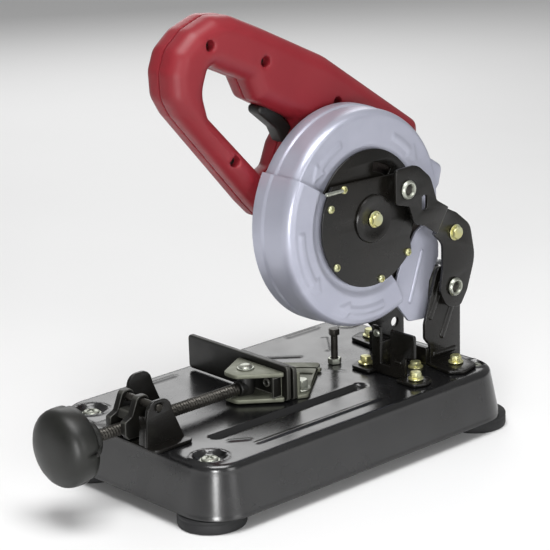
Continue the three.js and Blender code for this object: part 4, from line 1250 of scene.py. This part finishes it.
barrel = [(30.5, -16.6), (33.4, -16.6), (34, -17.4), (34, -19)]
barrel += [(34, -20 - 2 * k) for k in range(30)]
barrel += [(34, -80)]
for k in range(1, 9):
    lift = math.radians(90 * k / 8)
    barrel.append((26 + 8 * math.cos(lift), -80 - 7.9 * math.sin(lift)))
barrel += [(20, -87.9), (19, -87.2), (9, -87.2), (8, -87.9), (0, -87.9)]
motor_inside = [(25, -85.5), (29.5, -83), (30.5, -78)]
shell_loop = barrel[:-1] + [(6, -87.9), (6, -85.4)] + motor_inside
shell = turned(shell_loop, AT_SHAFT, "x", 144, motor_ribs)
slots = []
for k in range(8):
    angle = math.radians(22.5 + 45 * k)
    slot_cut = plate([rectangle(10.5, 24, -2, 2, 1.9)], -90, -82, "x", 0.1, 1)
    turn = Matrix.Rotation(angle, 4, "X")
    slot_cut.transform(Matrix.Translation(AT_SHAFT) @ turn)
    slots.append(slot_cut)
motor = difference(shell, *slots)
bearing_cap = turned(
    [(0, -87.6), (5.5, -87.6), (6.4, -87), (6.4, -85.4), (0, -85.4)], AT_SHAFT, "x", 40
)
build("motor_shell", joined(motor, bearing_cap), "head", "red_plastic",
      "motor_housing", 40)
for name, side in (("upper", 1), ("lower", -1)):
    low, high = local_box("brush_cap_" + name)
    base, tip = (low.z, high.z) if side > 0 else (-high.z, -low.z)
    cap = [(0, base), (4.9, base), (4.9, tip - 1), (4.3, tip - 0.2), (0, tip - 0.1)]
    made = turned(cap, (0, 0, 0), "z", 40)
    for vertex in made.verts:
        if abs(vertex.co.x) < 0.7 and vertex.co.z > tip - 0.5:
            vertex.co.z = tip - 1.4
    if side < 0:
        made.transform(Matrix.Rotation(math.pi, 4, "X"))
    made.transform(Matrix.Translation(((low.x + high.x) / 2, (low.y + high.y) / 2, 0)))
    build("brush_screw_cap_" + name, made, "head", "black_plastic",
          "brush_cap_" + name, 30)

# ---------- wheel and arbor ----------

wheel_low, wheel_high = local_box("cutoff_wheel")
edge_x = (wheel_low.x + 0.1, wheel_high.x - 0.1)
wheel = [(11.2, edge_x[0]), (22, edge_x[0])]
wheel += [(22 + 4 * k, wheel_low.x + (0.05 if k % 2 else 0.25)) for k in range(1, 13)]
wheel += [(WHEEL_RADIUS - 0.5, wheel_low.x + 0.1), (WHEEL_RADIUS, wheel_low.x + 0.7)]
wheel += [(WHEEL_RADIUS, wheel_high.x - 0.7), (WHEEL_RADIUS - 0.5, wheel_high.x - 0.1)]
wheel += [(22 + 4 * k, wheel_high.x - (0.05 if k % 2 else 0.25)) for k in range(12, 0, -1)]
wheel += [(22, edge_x[1]), (11.2, edge_x[1])]
build("abrasive_wheel", turned(wheel, AT_ARBOR, "x", 96), "spindle",
      "abrasive_resin", "cutoff_wheel", 40)
arbor = joined(
    turned(rod_profile(4, 21, 46), AT_ARBOR, "x", 28),
    hexagon_head(13, 45.5, 48.2, AT_ARBOR, "x"),
)
build("arbor_hex_bolt", arbor, "spindle", "zinc_plate", "arbor_bolt", 30)

# ---------- CAD parts that stay ----------

FINISH_OF = {
    "gloss_black": "black_enamel",
    "satin_black": "black_satin_paint",
    "silver_paint": "silver_paint",
    "red_plastic": "red_plastic",
    "black_plastic": "black_plastic",
    "black_rubber": "black_rubber",
    "zinc": "zinc_plate",
    "yellow_zinc": "yellow_zinc",
    "steel": "turned_steel",
    "abrasive": "abrasive_resin",
    "copper": "copper_winding",
}
for subpart in frame["record"]["subparts"]:
    kept = frame["nodes"][subpart["node"]]
    finish = MATERIALS[FINISH_OF[subpart["material_slot"]]]
    for slot in kept.material_slots:
        slot.material = finish
for name in ("gear_case", "gear_case_cover", "switch_body", "wheel_flange_outer", "wheel_flange_inner"):
    rounding = frame["nodes"][name].modifiers.new("edges", "BEVEL")
    rounding.width = 0.9 * MM
    rounding.segments = 3
    rounding.limit_method = "ANGLE"
    rounding.angle_limit = math.radians(50)
    rounding.harden_normals = True

# ---------- camera, floor and light ----------

AZIMUTH, ELEVATION, ROLL = math.radians(47.75), math.radians(17.05), math.radians(-1.59)
back = Vector(
    (
        math.sin(AZIMUTH) * math.cos(ELEVATION),
        -math.cos(AZIMUTH) * math.cos(ELEVATION),
        math.sin(ELEVATION),
    )
)
right = Vector((math.cos(AZIMUTH), math.sin(AZIMUTH), 0))
above = back.cross(right)
turned_right = right * math.cos(ROLL) + above * math.sin(ROLL)
turned_above = above * math.cos(ROLL) - right * math.sin(ROLL)
AIM_X, AIM_Y, DISTANCE = 6.344, -88.19, 1664.17  # mm: where the datum lies from the view's middle
spot = DATUM - (turned_right * AIM_X + turned_above * AIM_Y - back * DISTANCE) * MM
lens = bpy.data.cameras.new("view")
lens.lens = 137.2
lens.sensor_width = 36.0
lens.clip_start = 0.05
lens.clip_end = 50.0
camera = bpy.data.objects.new("view", lens)
bpy.context.scene.collection.objects.link(camera)
axes = Matrix((turned_right, turned_above, back)).transposed().to_4x4()
camera.matrix_world = Matrix.Translation(spot) @ axes
bpy.context.scene.camera = camera


def floor():
    made = bmesh.new()
    half = 6.0
    level = DATUM.z + FLOOR_Z * MM
    corners = [(-half, -half), (half, -half), (half, half), (-half, half)]
    made.faces.new([made.verts.new((x, y, level)) for x, y in corners])
    mesh = bpy.data.meshes.new("floor")
    made.to_mesh(mesh)
    made.free()
    pale = Finish("pale_floor", (0.86, 0.86, 0.86, 1.0), 0.8)
    pale.mottle((0.84, 0.84, 0.84, 1.0), 2)
    mesh.materials.append(pale.material)
    thing = bpy.data.objects.new("floor", mesh)
    bpy.context.scene.collection.objects.link(thing)
    thing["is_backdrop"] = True


floor()


LIT = (0, 20, 80)  # the point that every lamp faces


def lamp(name, place, size, power):
    light = bpy.data.lights.new(name, "AREA")
    light.shape = "RECTANGLE"
    light.size, light.size_y = size
    light.energy = power
    thing = bpy.data.objects.new(name, light)
    thing.location = DATUM + Vector(place) * MM
    aim = DATUM + Vector(LIT) * MM - thing.location
    thing.rotation_euler = aim.to_track_quat("-Z", "Y").to_euler()
    bpy.context.scene.collection.objects.link(thing)


lamp("key_above", (400, -300, 1500), (1.0, 0.8), 22)
lamp("fill_right", (1500, 0, 450), (0.5, 0.9), 5)
lamp("corner_front", (1120, -1280, 200), (0.3, 0.36), 13)
lamp("back_left", (-1300, 900, 900), (1.2, 1.0), 8)

world = bpy.data.worlds.new("studio")
world.use_nodes = True
sky = world.node_tree.nodes["Background"]
sky.inputs["Color"].default_value = (1.0, 1.0, 1.0, 1.0)
sky.inputs["Strength"].default_value = 0.28
bpy.context.scene.world = world
bpy.context.scene.view_settings.view_transform = "Standard"

low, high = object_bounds()
